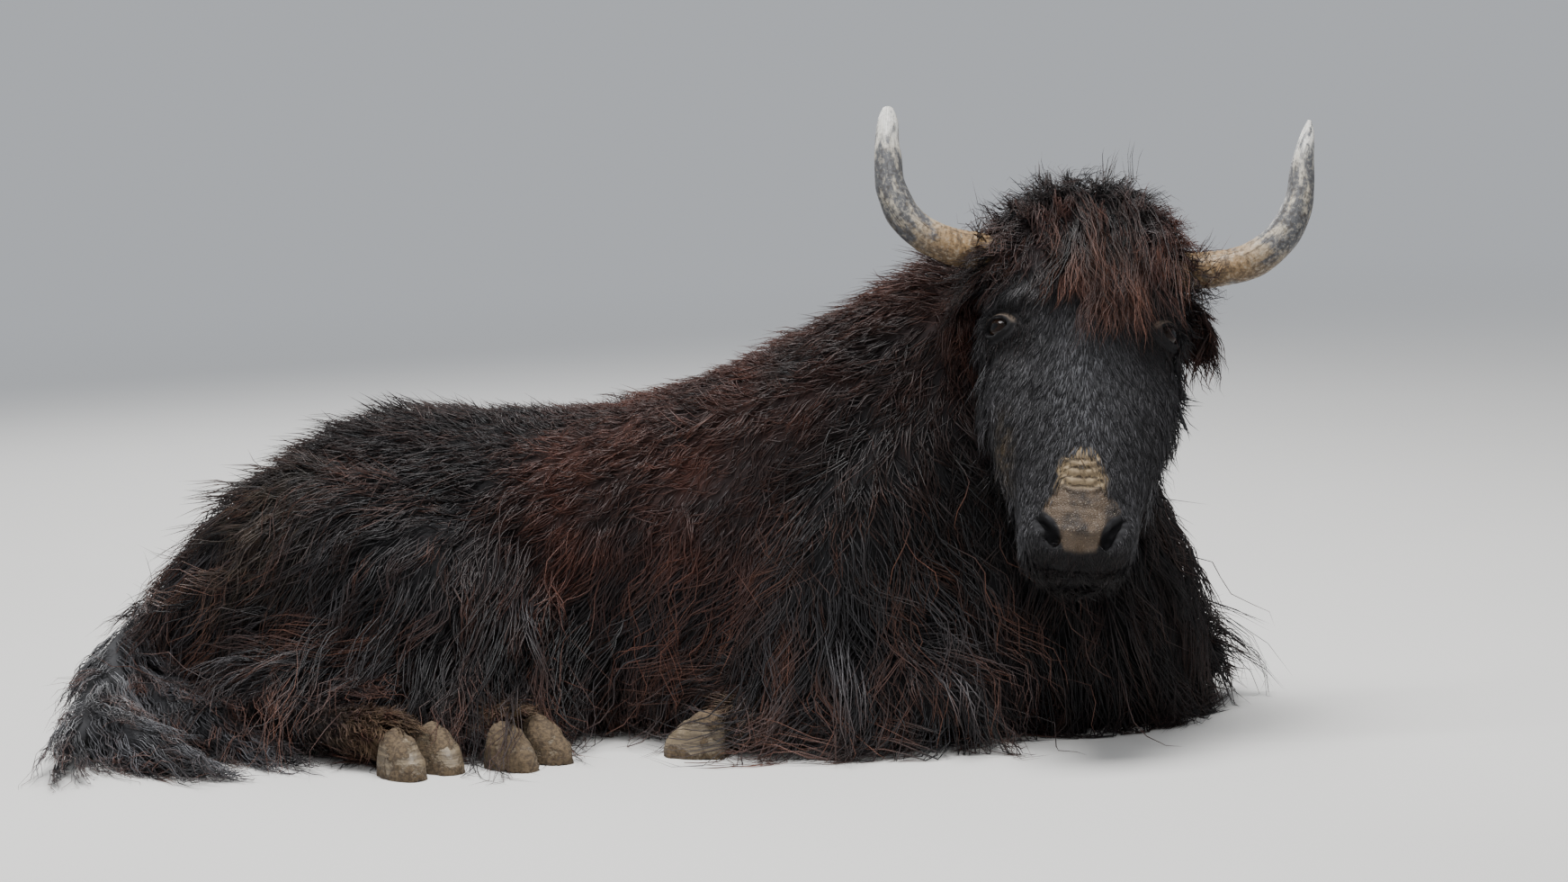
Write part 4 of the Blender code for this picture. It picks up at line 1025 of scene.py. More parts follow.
        # Painted shade: the chest and shoulder darkened where the head and neck shade them, and
        # the top of the rump against the top light; it takes off the slate and the copper tips.
        dark = step_up(0.33, 0.44, x) * step_up(0.52, 0.44, z) * (1 - fore) * body
        dark = np.maximum(dark, 0.6 * step_up(-0.22, -0.36, x) * step_up(0.24, 0.34, z) * body)
        grey_and_sheen *= 1 - 0.95 * dark
        self.grey_and_sheen = np.clip(grey_and_sheen, 0.0, 1.0)
        feet = self.blend(Region.FOOT, Region.LOWER_LEG) * step_up(0.14, 0.05, z)
        ends = np.zeros(len(x))
        for _, heel, _, _, _ in CLAWS:
            ends = np.maximum(ends, patch(p, (heel[0], heel[1], 0.04), (0.09, 0.09, 0.06)))
        self.rust = np.maximum(self.rust, 0.8 * feet * ends)
        mud = 0.6 * feet * ends + 0.3 * patch(p, (-0.37, -0.2, 0.27), (0.06, 0.12, 0.06))
        cheek = patch(self.face, (-0.098, 0.315, -0.03), (0.01, 0.04, 0.03))
        mud += 0.55 * cheek + 0.9 * self.nose_band()
        self.mud = np.clip(mud, 0.0, 1.0)
        tips = 0.35 + 0.4 * self.blend(Region.UPPER_LEG) + 0.45 * fore + 0.6 * tail
        # The copper tips fade in the painted shade.
        self.tips = np.clip(tips * body * (1 - 0.7 * dark) + 0.3 * mop, 0.0, 1.0)

    def shares(self) -> Array:
        """Rust, slate and mud of each vertex as rows: the slate is pale tail hair and painted
        sheen elsewhere, and rust and slate are cut back by painted shade.
        """
        return np.column_stack([self.rust, self.grey_and_sheen, self.mud])


# Strands


@dataclass
class Roots:
    """Where strands or the middles of their tufts stand on the skin."""

    places: Array
    normals: Array
    lies: Array
    values: Array
    spots: Array


@dataclass
class Layer:
    """One layer of the coat: its number of strands and how they are made.

    The waves' height is a share of their length, wave_size; lift and stretch are
    shares of what the map says; reach gives the way from a root to its tip. Uneven
    is the spread of the lengths, and mottle the share of tone common to a tuft.
    """

    name: str
    strands: int
    to_a_tuft: int
    rings: int
    width: float
    weight: Callable[["CoatMap"], Array]
    stretch: float = 1.0
    lift: float = 1.0
    gather: float = 0.65
    wave: float = 0.07
    wave_size: float = 0.06
    bend: float = 0.1
    stray: float = 0.03
    swirl: float = 0.35
    sag: float = 0.0
    stands: float = 0.0
    hangs: bool = False
    reach: Callable[["Roots"], Array] | None = None
    tips: float = 0.0
    on_bare: bool = False
    uneven: float = 0.24
    mottle: float = 0.55
    slot: str = "body_coat"


class Coat:
    """Grows solid strands over the skin and joins them into a few meshes."""

    piece_triangles = 190_000
    room, eye_room = 0.03, 0.0045
    tuft_reach, root_depth = 0.03, 0.0015
    key_rise, seed = 0.02, 2024

    def __init__(self, coat_map: CoatMap, spots: Array, finish: Material) -> None:
        """Keep what the strands grow from.

        Args:
            coat_map: The map of the coat.
            spots: Place of each triangle's corners on the skin's unwrap.
            finish: Material of the hair.
        """
        self.map, self.spots, self.finish = coat_map, spots, finish
        self.rng = np.random.default_rng(self.seed)
        self.keep_clear = [from_face((sign * EYE[0], EYE[1], EYE[2])) for sign in (-1, 1)]

    def roots(self, weight: Array, count: int) -> Roots:
        """Places drawn over the skin by weight.

        Args:
            weight: Weight of each vertex.
            count: Number of places.

        Returns:
            The places with what the map says there.
        """
        skin = self.map
        share = (skin.areas * weight[skin.triangles].mean(axis=1))[skin.order]
        steps = (np.arange(count) + self.rng.random(count)) / count
        chosen = np.searchsorted(np.cumsum(share) / share.sum(), steps)
        chosen = skin.order[np.minimum(chosen, len(share) - 1)]
        first, second = self.rng.random((2, count))
        flip = first + second > 1
        first, second = np.where(flip, 1 - first, first), np.where(flip, 1 - second, second)
        parts = np.column_stack([1 - first - second, first, second])
        corners = skin.triangles[chosen]

        def mix(values: Array) -> Array:
            """Values of the corners, mixed at each place."""
            return np.einsum("nc,nck->nk", parts, values[corners])

        fields = np.column_stack([skin.length, skin.lift, skin.rust, skin.grey_and_sheen, skin.mud,
                                  skin.tips])
        spots = np.einsum("nc,nck->nk", parts, self.spots[chosen])
        return Roots(mix(skin.points), unit(mix(skin.normals)), unit(mix(skin.lie)),
                     mix(fields), spots)

    def surface(self, places: Array) -> tuple[Array, Array, Array]:
        """Height over the skin, its normal and the coat's lie at places."""
        heights, normals = np.empty(len(places)), np.empty((len(places), 3))
        lies = np.empty((len(places), 3))
        corners = self.map.triangles
        for row, place in enumerate(places.tolist()):
            spot, normal, index, _ = self.map.tree.find_nearest(place)
            heights[row] = (Vector(place) - spot).dot(normal)
            normals[row] = normal
            lies[row] = self.map.lie[corners[index, 0]]
        return heights, normals, lies

    def tuft_paths(self, layer: Layer, roots: Roots) -> Array:
        """Path of the middle of each tuft, from root to tip.

        Args:
            layer: The layer.
            roots: Where the tufts stand.

        Returns:
            Places, tuft by tuft and ring by ring.
        """
        count = len(roots.places)
        flow, length = roots.lies, roots.values[:, 0]
        if layer.reach is not None:
            way = layer.reach(roots)
            flow, length = unit(way), np.linalg.norm(way, axis=1)
        uneven = self.rng.uniform(1 - layer.uneven, 1 + layer.uneven, count)
        length = length * layer.stretch * uneven
        lift = np.clip(roots.values[:, 1] * layer.lift + layer.stands, 0.05, 1.4)
        bend = self.rng.normal(0, 0.18, count)[:, None]
        flow = unit(flow + np.cross(roots.normals, flow) * bend)
        place, path = roots.places.copy(), [roots.places]
        heading = unit(flow * np.cos(lift)[:, None] + roots.normals * np.sin(lift)[:, None])
        stride = (length / layer.rings)[:, None]
        for ring in range(layer.rings):
            share = (ring + 1) / layer.rings
            if layer.hangs and ring > 0:
                height, normal, lie = self.surface(place)
                lie = lie if layer.reach is None else flow
                turn = layer.swirl * drift(place, 0.11, 53)[:, None]
                pull = lie + np.cross(normal, lie) * turn + DOWN * (0.2 + layer.sag)
                heading = unit(heading * 0.55 + unit(pull) * 0.45)
                inward = np.minimum(np.sum(heading * normal, axis=1), 0.0)
                heading = unit(heading - normal * ((height < 0.03) * inward)[:, None])
            elif not layer.hangs:
                angle = lift * (1.0 - 0.7 * share)
                heading = unit(flow * np.cos(angle)[:, None]
                               + roots.normals * np.sin(angle)[:, None] + DOWN * layer.sag)
            place = place + heading * stride
            if layer.hangs:
                height, normal, _ = self.surface(place)
                wanted = 0.004 + 0.16 * length * np.sin(lift) * math.sin(math.pi * 0.5 * share)
                place = place + normal * np.clip(wanted - height, 0.0, 0.05)[:, None]
            place[:, 2] = np.maximum(place[:, 2], FLOOR_ROOM + 0.004 * share)
            path.append(place)
        return np.stack(path, axis=1)

    def owners(self, roots: Roots, middles: Roots) -> Array:
        """Number of the tuft that each strand belongs to: the nearest one."""
        tree = KDTree(len(middles.places))
        keys = (middles.places + middles.normals * self.key_rise).tolist()
        for index, key in enumerate(keys):
            tree.insert(key, index)
        tree.balance()
        keys = (roots.places + roots.normals * self.key_rise).tolist()
        return np.array([tree.find(key)[1] for key in keys])

    def strand_paths(self, layer: Layer, roots: Roots, middles: Roots, owner: Array,
                     paths: Array) -> Array:
        """Path of each strand, waved, and gathered towards the tip of its tuft.

        Args:
            layer: The layer.
            roots: Where the strands stand.
            middles: Where the tufts stand.
            owner: Number of each strand's tuft.
            paths: Path of each tuft's middle.

        Returns:
            Places, strand by strand and ring by ring.
        """
        count, rings = len(owner), paths.shape[1]
        share = np.linspace(0, 1, rings)[None, :, None]
        reach = self.rng.uniform(0.7, 1.16, count)[:, None, None]
        run = (paths[owner] - paths[owner][:, :1]) * reach
        aside = roots.places - middles.places[owner]
        apart = np.linalg.norm(aside, axis=1, keepdims=True)
        aside = aside * np.minimum(1.0, self.tuft_reach / np.maximum(apart, 1e-6))
        path = roots.places[:, None] + run
        path = path - aside[:, None] * layer.gather * share ** 1.2
        over = roots.normals[:, None]
        across = unit(np.cross(unit(run[:, -1]), roots.normals))[:, None]
        length = np.linalg.norm(run[:, -1], axis=1)[:, None, None]

        def spread(size: float, seed: int, own: float) -> Array:
            """Drift that the strands of a tuft share, with some of their own."""
            shared = drift(middles.places, size, seed)[owner]
            return (shared + self.rng.normal(0, own, count))[:, None, None]

        start = spread(0.06, 51, 0.1) * math.pi * 1.6
        turns = length / layer.wave_size * (1 + 0.3 * spread(0.15, 52, 0.12))
        beat = start + 2 * math.pi * turns * share
        size = layer.wave * layer.wave_size * share ** 0.7
        path = path + across * (np.sin(beat) - np.sin(start)) * size
        path = path + over * (np.cos(beat) - np.cos(start)) * size * 0.5
        sweep = self.rng.normal(0, layer.bend, len(middles.places))[owner]
        sweep = (sweep + self.rng.normal(0, layer.bend * 0.25, count))[:, None, None]
        path = path + across * sweep * length * share ** 2
        stray = self.rng.normal(0, layer.stray, (count, 1, 3)) * length * share ** 1.5
        path = path + stray - over * self.root_depth * (share < 0.01)
        path[..., 2] = np.maximum(path[..., 2], FLOOR_ROOM * 0.5)
        return path

    def clear_of_features(self, path: Array) -> Array:
        """Strands that leave the eyes free."""
        good = np.ones(len(path), bool)
        for centre in self.keep_clear:
            near = np.linalg.norm(path - centre, axis=2).min(axis=1)
            good &= near > EYE_RADIUS + self.eye_room
        return good

    def drawn_in(self, path: Array, kept: Array) -> Array:
        """Strands shrunk towards their roots to the share of each that is kept."""
        return path[:, :1] + (path - path[:, :1]) * kept[:, None, None]

    def short_of_claws(self, path: Array) -> Array:
        """Strands drawn in towards their roots where they would cover a claw."""
        rings = path.shape[1]
        kept = np.ones(len(path))
        for _, heel, toe, half_width, height in CLAWS:
            middle = np.array(heel) * 0.4 + np.array(toe) * 0.6 + (0, 0, height * 0.3)
            inside = np.linalg.norm(path - middle, axis=2) < half_width * 0.95
            first = np.where(inside.any(axis=1), inside.argmax(axis=1), rings)
            kept = np.minimum(kept, np.maximum(first - 0.6, 0.6) / (rings - 1))
        return self.drawn_in(path, np.minimum(kept, 1.0))

    def within_room(self, path: Array) -> Array:
        """Strands drawn in towards their roots where they would stick out too far."""
        low, high = (np.array(corner) - SHIFT for corner in CAD_BOX)
        run = path[:, 1:] - path[:, :1]
        room = np.where(run > 0, high + self.room - path[:, :1], low - self.room - path[:, :1])
        room[..., 2] = np.where(run[..., 2] > 0, room[..., 2], run[..., 2])
        shares = room / np.where(np.abs(run) < 1e-6, np.sign(room) * 1e-6, run)
        return self.drawn_in(path, np.clip(shares.min(axis=(1, 2)), 0.1, 1.0))

    def grow(self, layer: Layer) -> int:
        """Grow one layer.

        Args:
            layer: The layer.

        Returns:
            Number of triangles made.
        """
        weight = layer.weight(self.map) * (1.0 if layer.on_bare else self.map.cover)
        middles = self.roots(weight, max(layer.strands // layer.to_a_tuft, 1))
        paths = self.tuft_paths(layer, middles)
        roots = self.roots(weight, layer.strands)
        owner = self.owners(roots, middles)
        path = self.strand_paths(layer, roots, middles, owner, paths)
        path = self.within_room(self.short_of_claws(path))
        chance = self.rng.random((2, len(middles.places)))[:, owner]
        values = np.column_stack([roots.values, chance.T])
        good = self.clear_of_features(path)
        path, values, spots = path[good], values[good], roots.spots[good]
        normals = roots.normals[good]
        to_each = 6 * (layer.rings - 1)
        batch = self.piece_triangles // to_each
        for number, start in enumerate(range(0, len(path), batch)):
            part = slice(start, start + batch)
            name = f"coat_{layer.name}_{number + 1}"
            self.piece(name, layer, path[part], normals[part], values[part], spots[part])
        LOG.info("coat %s: %d strands, %d triangles", layer.name, len(path), len(path) * to_each)
        return len(path) * to_each

    def piece(self, name: str, layer: Layer, path: Array, normals: Array,
              values: Array, spots: Array) -> None:
        """Make one joined mesh of strands, each pointed at both ends.

        Args:
            name: Name of the piece.
            layer: The layer that it belongs to.
            path: Places along each strand.
            normals: Skin normal at each root.
            values: What the map says at each root, and two chances.
            spots: Place of each root on the skin's unwrap.
        """
        count, rings = len(path), layer.rings - 1
        share = np.linspace(0, 1, layer.rings + 1)[1:-1]
        taper = np.interp(share, (0.0, 0.3, 0.7, 1.0), (0.9, 1.0, 0.75, 0.2))
        width = layer.width * self.rng.uniform(0.65, 1.35, count)[:, None] * taper
        body = path[:, 1:-1]
        run = unit(path[:, 2:] - path[:, :-2])
        across = unit(np.cross(run, normals[:, None]))
        over = np.cross(across, run)
        half, high = (width / 2)[..., None] * across, (width * 0.36)[..., None] * over
        corners = np.stack([body + half - high * 0.5, body - half - high * 0.5, body + high], 2)
        points = np.concatenate([path[:, :1], corners.reshape(count, rings * 3, 3),
                                 path[:, -1:]], axis=1)
        faces = [[0, 1 + side, 1 + (side + 1) % 3] for side in range(3)]
        for base in range(1, rings * 3 - 2, 3):
            for side in range(3):
                after = (side + 1) % 3
                faces.append([base + after, base + side, base + 3 + side])
                faces.append([base + after, base + 3 + side, base + 3 + after])
        last = rings * 3 + 1
        for side in range(3):
            faces.append([last - 3 + (side + 1) % 3, last - 3 + side, last])
        each = last + 1
        faces = np.array(faces)[None] + (np.arange(count) * each)[:, None, None]
        along = np.concatenate([[0.0], np.repeat(share, 3), [1.0]])
        aside = np.concatenate([[0.0], np.tile((-0.5, 0.5, 0.0), rings), [0.0]])
        mesh = bpy.data.meshes.new(name)
        self.fill(mesh, points.reshape(-1, 3) + SHIFT, faces.reshape(-1, 3))
        self.colour(mesh, layer, values, along)
        local = np.column_stack([aside, along - 0.5]) * TUFT_PATCH
        places = (spots[:, None] + local[None]).reshape(-1, 2)
        unwrap = mesh.uv_layers.new(name=UV_MAP)
        unwrap.data.foreach_set("uv", places[faces.ravel()].astype(np.float32).ravel())
        hand_in(placed(name, mesh), self.finish, layer.slot)

    def fill(self, mesh: Mesh, points: Array, faces: Array) -> None:
        """Give a mesh its vertices and triangles in one go."""
        mesh.vertices.add(len(points))
        mesh.vertices.foreach_set("co", points.astype(np.float32).ravel())
        mesh.loops.add(faces.size)
        mesh.loops.foreach_set("vertex_index", faces.astype(np.int32).ravel())
        mesh.polygons.add(len(faces))
        mesh.polygons.foreach_set("loop_start", np.arange(0, faces.size, 3, dtype=np.int32))
        mesh.update(calc_edges=True)

    def colour(self, mesh: Mesh, layer: Layer, values: Array, along: Array) -> None:
        """Store each strand's colour marks with their painted shade and sheen, and how far along
        it each vertex is.
        """
        count, each = len(values), len(along)
        chance = values[:, 6] * layer.mottle + self.rng.random(count) * (1 - layer.mottle)
        tips = np.clip(values[:, 5] + layer.tips, 0, 1) * values[:, 7] ** 1.2
        tips *= self.rng.uniform(0.3, 1.0, count)
        strand = np.column_stack([np.tile(along, count), np.repeat(chance, each),
                                  np.repeat(tips, each)])
        set_attribute(mesh, "strand", "FLOAT_COLOR", strand)
        set_attribute(mesh, "markings", "FLOAT_COLOR", np.repeat(values[:, 2:5], each, axis=0))


# Finishes


class Nodes:
    """Short hand for making and joining shader nodes."""

    def __init__(self, tree: NodeTree) -> None:
        """Keep the tree that nodes are added to."""
        self.tree = tree

    def add(self, kind: str, settings: dict | None = None, **inputs: object) -> Node:
        """New node with its settings and inputs.

        Args:
            kind: Blender's name of the node.
            settings: Properties of the node.
            inputs: Values or sockets for its inputs, with _ for a space; i0, i1 and so
                on name an input by its number.

        Returns:
            The node.
        """
        node = self.tree.nodes.new(kind)
        for key, value in (settings or {}).items():
            setattr(node, key, value)
        self.feed(node, **inputs)
        return node

    def feed(self, node: Node, **inputs: object) -> None:
        """Link sockets to a node's inputs, and set the values of others."""
        for key, value in inputs.items():
            number = key[1:]
            socket = node.inputs[int(number)] if key[0] == "i" and number.isdigit() \
                else node.inputs[key.replace("_", " ")]
            if isinstance(value, NodeSocket):
                self.tree.links.new(value, socket)
            else:
                socket.default_value = value

    def mix(self, share: object, first: object, second: object) -> NodeSocket:
        """Mix of two colours by a share."""
        node = self.add("ShaderNodeMix", {"data_type": "RGBA"}, i0=share, i6=first, i7=second)
        return node.outputs[2]

    def maths(self, operation: str, *values: object) -> NodeSocket:
        """Result of a Math node."""
        inputs = {f"i{index}": value for index, value in enumerate(values)}
        return self.add("ShaderNodeMath", {"operation": operation}, **inputs).outputs[0]

    def ranged(self, value: object, low: float, high: float, start: float = 0.0,
               end: float = 1.0) -> NodeSocket:
        """Value taken from one range to another, smoothly and clamped."""
        node = self.add("ShaderNodeMapRange", {"interpolation_type": "SMOOTHSTEP"}, Value=value,
                        From_Min=low, From_Max=high, To_Min=start, To_Max=end)
        return node.outputs[0]

    def noise(self, vector: object, scale: float, detail: float = 3.0,
              roughness: float = 0.55) -> NodeSocket:
        """Value of a Noise Texture."""
        return self.add("ShaderNodeTexNoise", None, Vector=vector, Scale=scale, Detail=detail,
                        Roughness=roughness).outputs[0]

    def stretched(self, vector: object, scale: Row) -> NodeSocket:
        """A vector with each part scaled on its own."""
        return self.add("ShaderNodeMapping", None, Vector=vector, Scale=scale).outputs[0]

    def parts(self, vector: object) -> tuple[NodeSocket, ...]:
        """The three parts of a vector."""
        return tuple(self.add("ShaderNodeSeparateXYZ", None, Vector=vector).outputs)

    def colour_parts(self, colour: object) -> tuple[NodeSocket, ...]:
        """The three parts of a colour."""
        return tuple(self.add("ShaderNodeSeparateColor", None, Color=colour).outputs)

    def bump(self, strength: float, distance: float, *heights: object) -> NodeSocket:
        """Normal raised by the sum of some heights."""
        total = heights[0]
        for height in heights[1:]:
            total = self.maths("ADD", total, height)
        return self.add("ShaderNodeBump", None, Strength=strength, Distance=distance,
                        Height=total).outputs[0]

    def attribute(self, name: str, output: str = "Color") -> NodeSocket:
        """Socket of a vertex attribute."""
        return self.add("ShaderNodeAttribute", {"attribute_name": name}).outputs[output]

    def object_place(self) -> NodeSocket:
        """Coordinates in the object's own frame."""
        return self.add("ShaderNodeTexCoord").outputs["Object"]


def new_group(name: str, inputs: dict[str, str], outputs: dict[str, str]) -> tuple[
        NodeTree, Nodes, Node, Node]:
    """Empty shader group with named sockets.

    Args:
        name: Name of the group.
        inputs: Socket type of each input by name.
        outputs: Socket type of each output by name.

    Returns:
        The group, a helper for it, and its input and output nodes.
    """
    tree = bpy.data.node_groups.new(name, "ShaderNodeTree")
    for side, sockets in (("INPUT", inputs), ("OUTPUT", outputs)):
        for label, kind in sockets.items():
            tree.interface.new_socket(label, in_out=side, socket_type=kind)
    return (tree, Nodes(tree), tree.nodes.new("NodeGroupInput"),
            tree.nodes.new("NodeGroupOutput"))


def new_material(name: str) -> tuple[Material, Nodes, Node]:
    """Material with a Principled shader, a node helper and the shader."""
    material = bpy.data.materials.new(name)
    material.use_nodes = True
    return material, Nodes(material.node_tree), material.node_tree.nodes["Principled BSDF"]


@dataclass(frozen=True)
class CoatTone:
    """Colours of the hair, shared by the strands and the skin under them; the slate stands for
    pale tail hair and painted sheen.
    """

    black: Row = (0.005, 0.0046, 0.0052, 1)
    brown: Row = (0.016, 0.01, 0.0095, 1)
    rust: Row = (0.072, 0.024, 0.0155, 1)
    copper: Row = (0.21, 0.088, 0.056, 1)
    # Slate: pale tail hair, and elsewhere painted sheen on the black hair.
    slate: Row = (0.092, 0.093, 0.101, 1)
    mud: Row = (0.19, 0.135, 0.075, 1)

    def build(self) -> NodeTree:
        """Group that turns the coat's colour marks, with their painted shade and sheen, and the
        place on a strand into a colour.
        """
        tree, nodes, given, out = new_group(
            "coat_tone",
            {"Markings": "NodeSocketColor", "Strand": "NodeSocketColor"},
            {"Color": "NodeSocketColor", "Roughness": "NodeSocketFloat"})
        rust, grey_and_sheen, mud = nodes.colour_parts(given.outputs["Markings"])
        along, chance, tips = nodes.colour_parts(given.outputs["Strand"])
        place = nodes.object_place()
        patchy = nodes.noise(place, 9.0, 4.0)
        base = nodes.mix(nodes.ranged(chance, 0.35, 1.0), self.black, self.brown)
        rusty = nodes.maths("MULTIPLY", rust, nodes.ranged(along, 0.0, 0.7, 0.25, 1.0))
        rusty = nodes.maths("MULTIPLY", rusty, nodes.ranged(patchy, 0.3, 0.68, 0.15, 1.0))
        base = nodes.mix(rusty, base, self.rust)
        lit = nodes.maths("MULTIPLY", tips, nodes.ranged(along, 0.35, 1.0))
        base = nodes.mix(lit, base, self.copper)
        # Slate mixed in: pale tail hair, elsewhere painted sheen.
        pale = nodes.maths("MULTIPLY", grey_and_sheen, nodes.ranged(chance, 0.3, 0.95, 0.15, 1.0))
        base = nodes.mix(pale, base, self.slate)
        caked = nodes.maths("MULTIPLY", mud, nodes.ranged(nodes.noise(place, 60.0), 0.35, 0.6))
        base = nodes.mix(caked, base, self.mud)
        nodes.feed(out, Color=base, Roughness=nodes.ranged(mud, 0.0, 1.0, 0.44, 0.9))
        return tree


@dataclass(frozen=True)
class HairFinish:
    """Glossy dark hair, from the tone of each strand."""

    specular: float = 0.28

    def build(self, tone: NodeTree) -> Material:
        """The material."""
        material, nodes, shader = new_material("yak_hair")
        group = nodes.add("ShaderNodeGroup", {"node_tree": tone},
                          Markings=nodes.attribute("markings"),
                          Strand=nodes.attribute("strand"))
        nodes.feed(shader, Base_Color=group.outputs["Color"],
                   Roughness=group.outputs["Roughness"], Specular_IOR_Level=self.specular)
        return material


@dataclass(frozen=True)
class SkinFinish:
    """Dark skin under the hair, kept as dark as the hair's roots partly as painted shade in the
    gaps between strands; bare nose pad and lids, creased band on the nose.
    """

    pad: Row = (0.08, 0.056, 0.037, 1)
    pad_dark: Row = (0.016, 0.013, 0.012, 1)
    speck: Row = (0.2, 0.165, 0.12, 1)
    lid: Row = (0.12, 0.094, 0.074, 1)
    band: Row = (0.215, 0.163, 0.1, 1)
    crease: Row = (0.022, 0.017, 0.013, 1)
    crease_levels: Row = (0.344, 0.355, 0.366, 0.377)

    def lines(self, nodes: Nodes, value: object, levels: Row, width: float) -> object:
        """Share of a set of lines that run at the given levels of a value."""
        total = 0.0
        for level in levels:
            apart = nodes.maths("ABSOLUTE", nodes.maths("SUBTRACT", value, level))
            total = nodes.maths("MAXIMUM", total, nodes.ranged(apart, width, width * 0.25))
        return total

    def build(self, tone: NodeTree) -> Material:
        """The material."""
        material, nodes, shader = new_material("yak_skin")
        # The skin takes the hair's colour near the root: its own dark tone, and painted shade in
        # the gaps between strands.
        group = nodes.add("ShaderNodeGroup", {"node_tree": tone},
                          Markings=nodes.attribute("markings"),
                          Strand=(0.3, 0.35, 0.0, 1.0))
        pad, lid, band = nodes.colour_parts(nodes.attribute("bare"))
        face = nodes.attribute("face", "Vector")
        beside, below, _ = nodes.parts(face)
        warp = nodes.maths("MULTIPLY", nodes.noise(face, 45.0, 2.0), 0.016)
        bowed = nodes.maths("MULTIPLY", nodes.maths("POWER", beside, 2.0), 7.0)
        down = nodes.maths("ADD", nodes.maths("SUBTRACT", below, bowed), warp)
        aside = nodes.maths("ADD", beside, nodes.maths("MULTIPLY", warp, 0.8))
        across = self.lines(nodes, down, self.crease_levels, 0.0027)
        upright = self.lines(nodes, aside, (-0.012, 0.007, 0.024), 0.003)
        upright = nodes.maths("MULTIPLY", upright, nodes.ranged(down, 0.35, 0.39))
        cracks = nodes.maths("MAXIMUM", across, nodes.maths("MULTIPLY", upright, 0.6))
        cracks = nodes.maths("MULTIPLY", cracks, nodes.ranged(nodes.noise(face, 90.0), 0.3, 0.5))
        mottle = nodes.ranged(nodes.noise(face, 130.0, 4.0), 0.35, 0.65, 0.55, 1.0)
        crust = nodes.mix(mottle, self.pad, self.band)
        crust = nodes.mix(nodes.maths("MULTIPLY", cracks, 0.8), crust, self.crease)
        pebbles = nodes.add("ShaderNodeTexVoronoi", {"feature": "DISTANCE_TO_EDGE"},
                            Vector=face, Scale=330.0).outputs[0]
        specks = nodes.ranged(nodes.noise(face, 330.0, 2.0), 0.66, 0.7)
        pad_tone = nodes.mix(nodes.ranged(nodes.noise(face, 34.0, 4.0), 0.3, 0.62),
                             self.pad_dark, self.pad)
        pad_tone = nodes.mix(specks, pad_tone, self.speck)
        colour = nodes.mix(nodes.maths("MULTIPLY", band, 0.95), group.outputs["Color"], crust)
        colour = nodes.mix(pad, colour, pad_tone)
        colour = nodes.mix(nodes.maths("MULTIPLY", lid, 0.85), colour, self.lid)
        height = nodes.maths("MULTIPLY", nodes.ranged(pebbles, 0.0, 0.25), pad)
        height = nodes.maths("SUBTRACT", height, nodes.maths("MULTIPLY", cracks, band))
        fine = nodes.maths("MULTIPLY", nodes.noise(face, 420.0, 3.0), 0.3)
        nodes.feed(shader, Base_Color=colour, Roughness=nodes.ranged(pad, 0.0, 1.0, 0.85, 0.5),
                   Specular_IOR_Level=0.25, Normal=nodes.bump(0.55, 0.0014, height, fine))
        return material


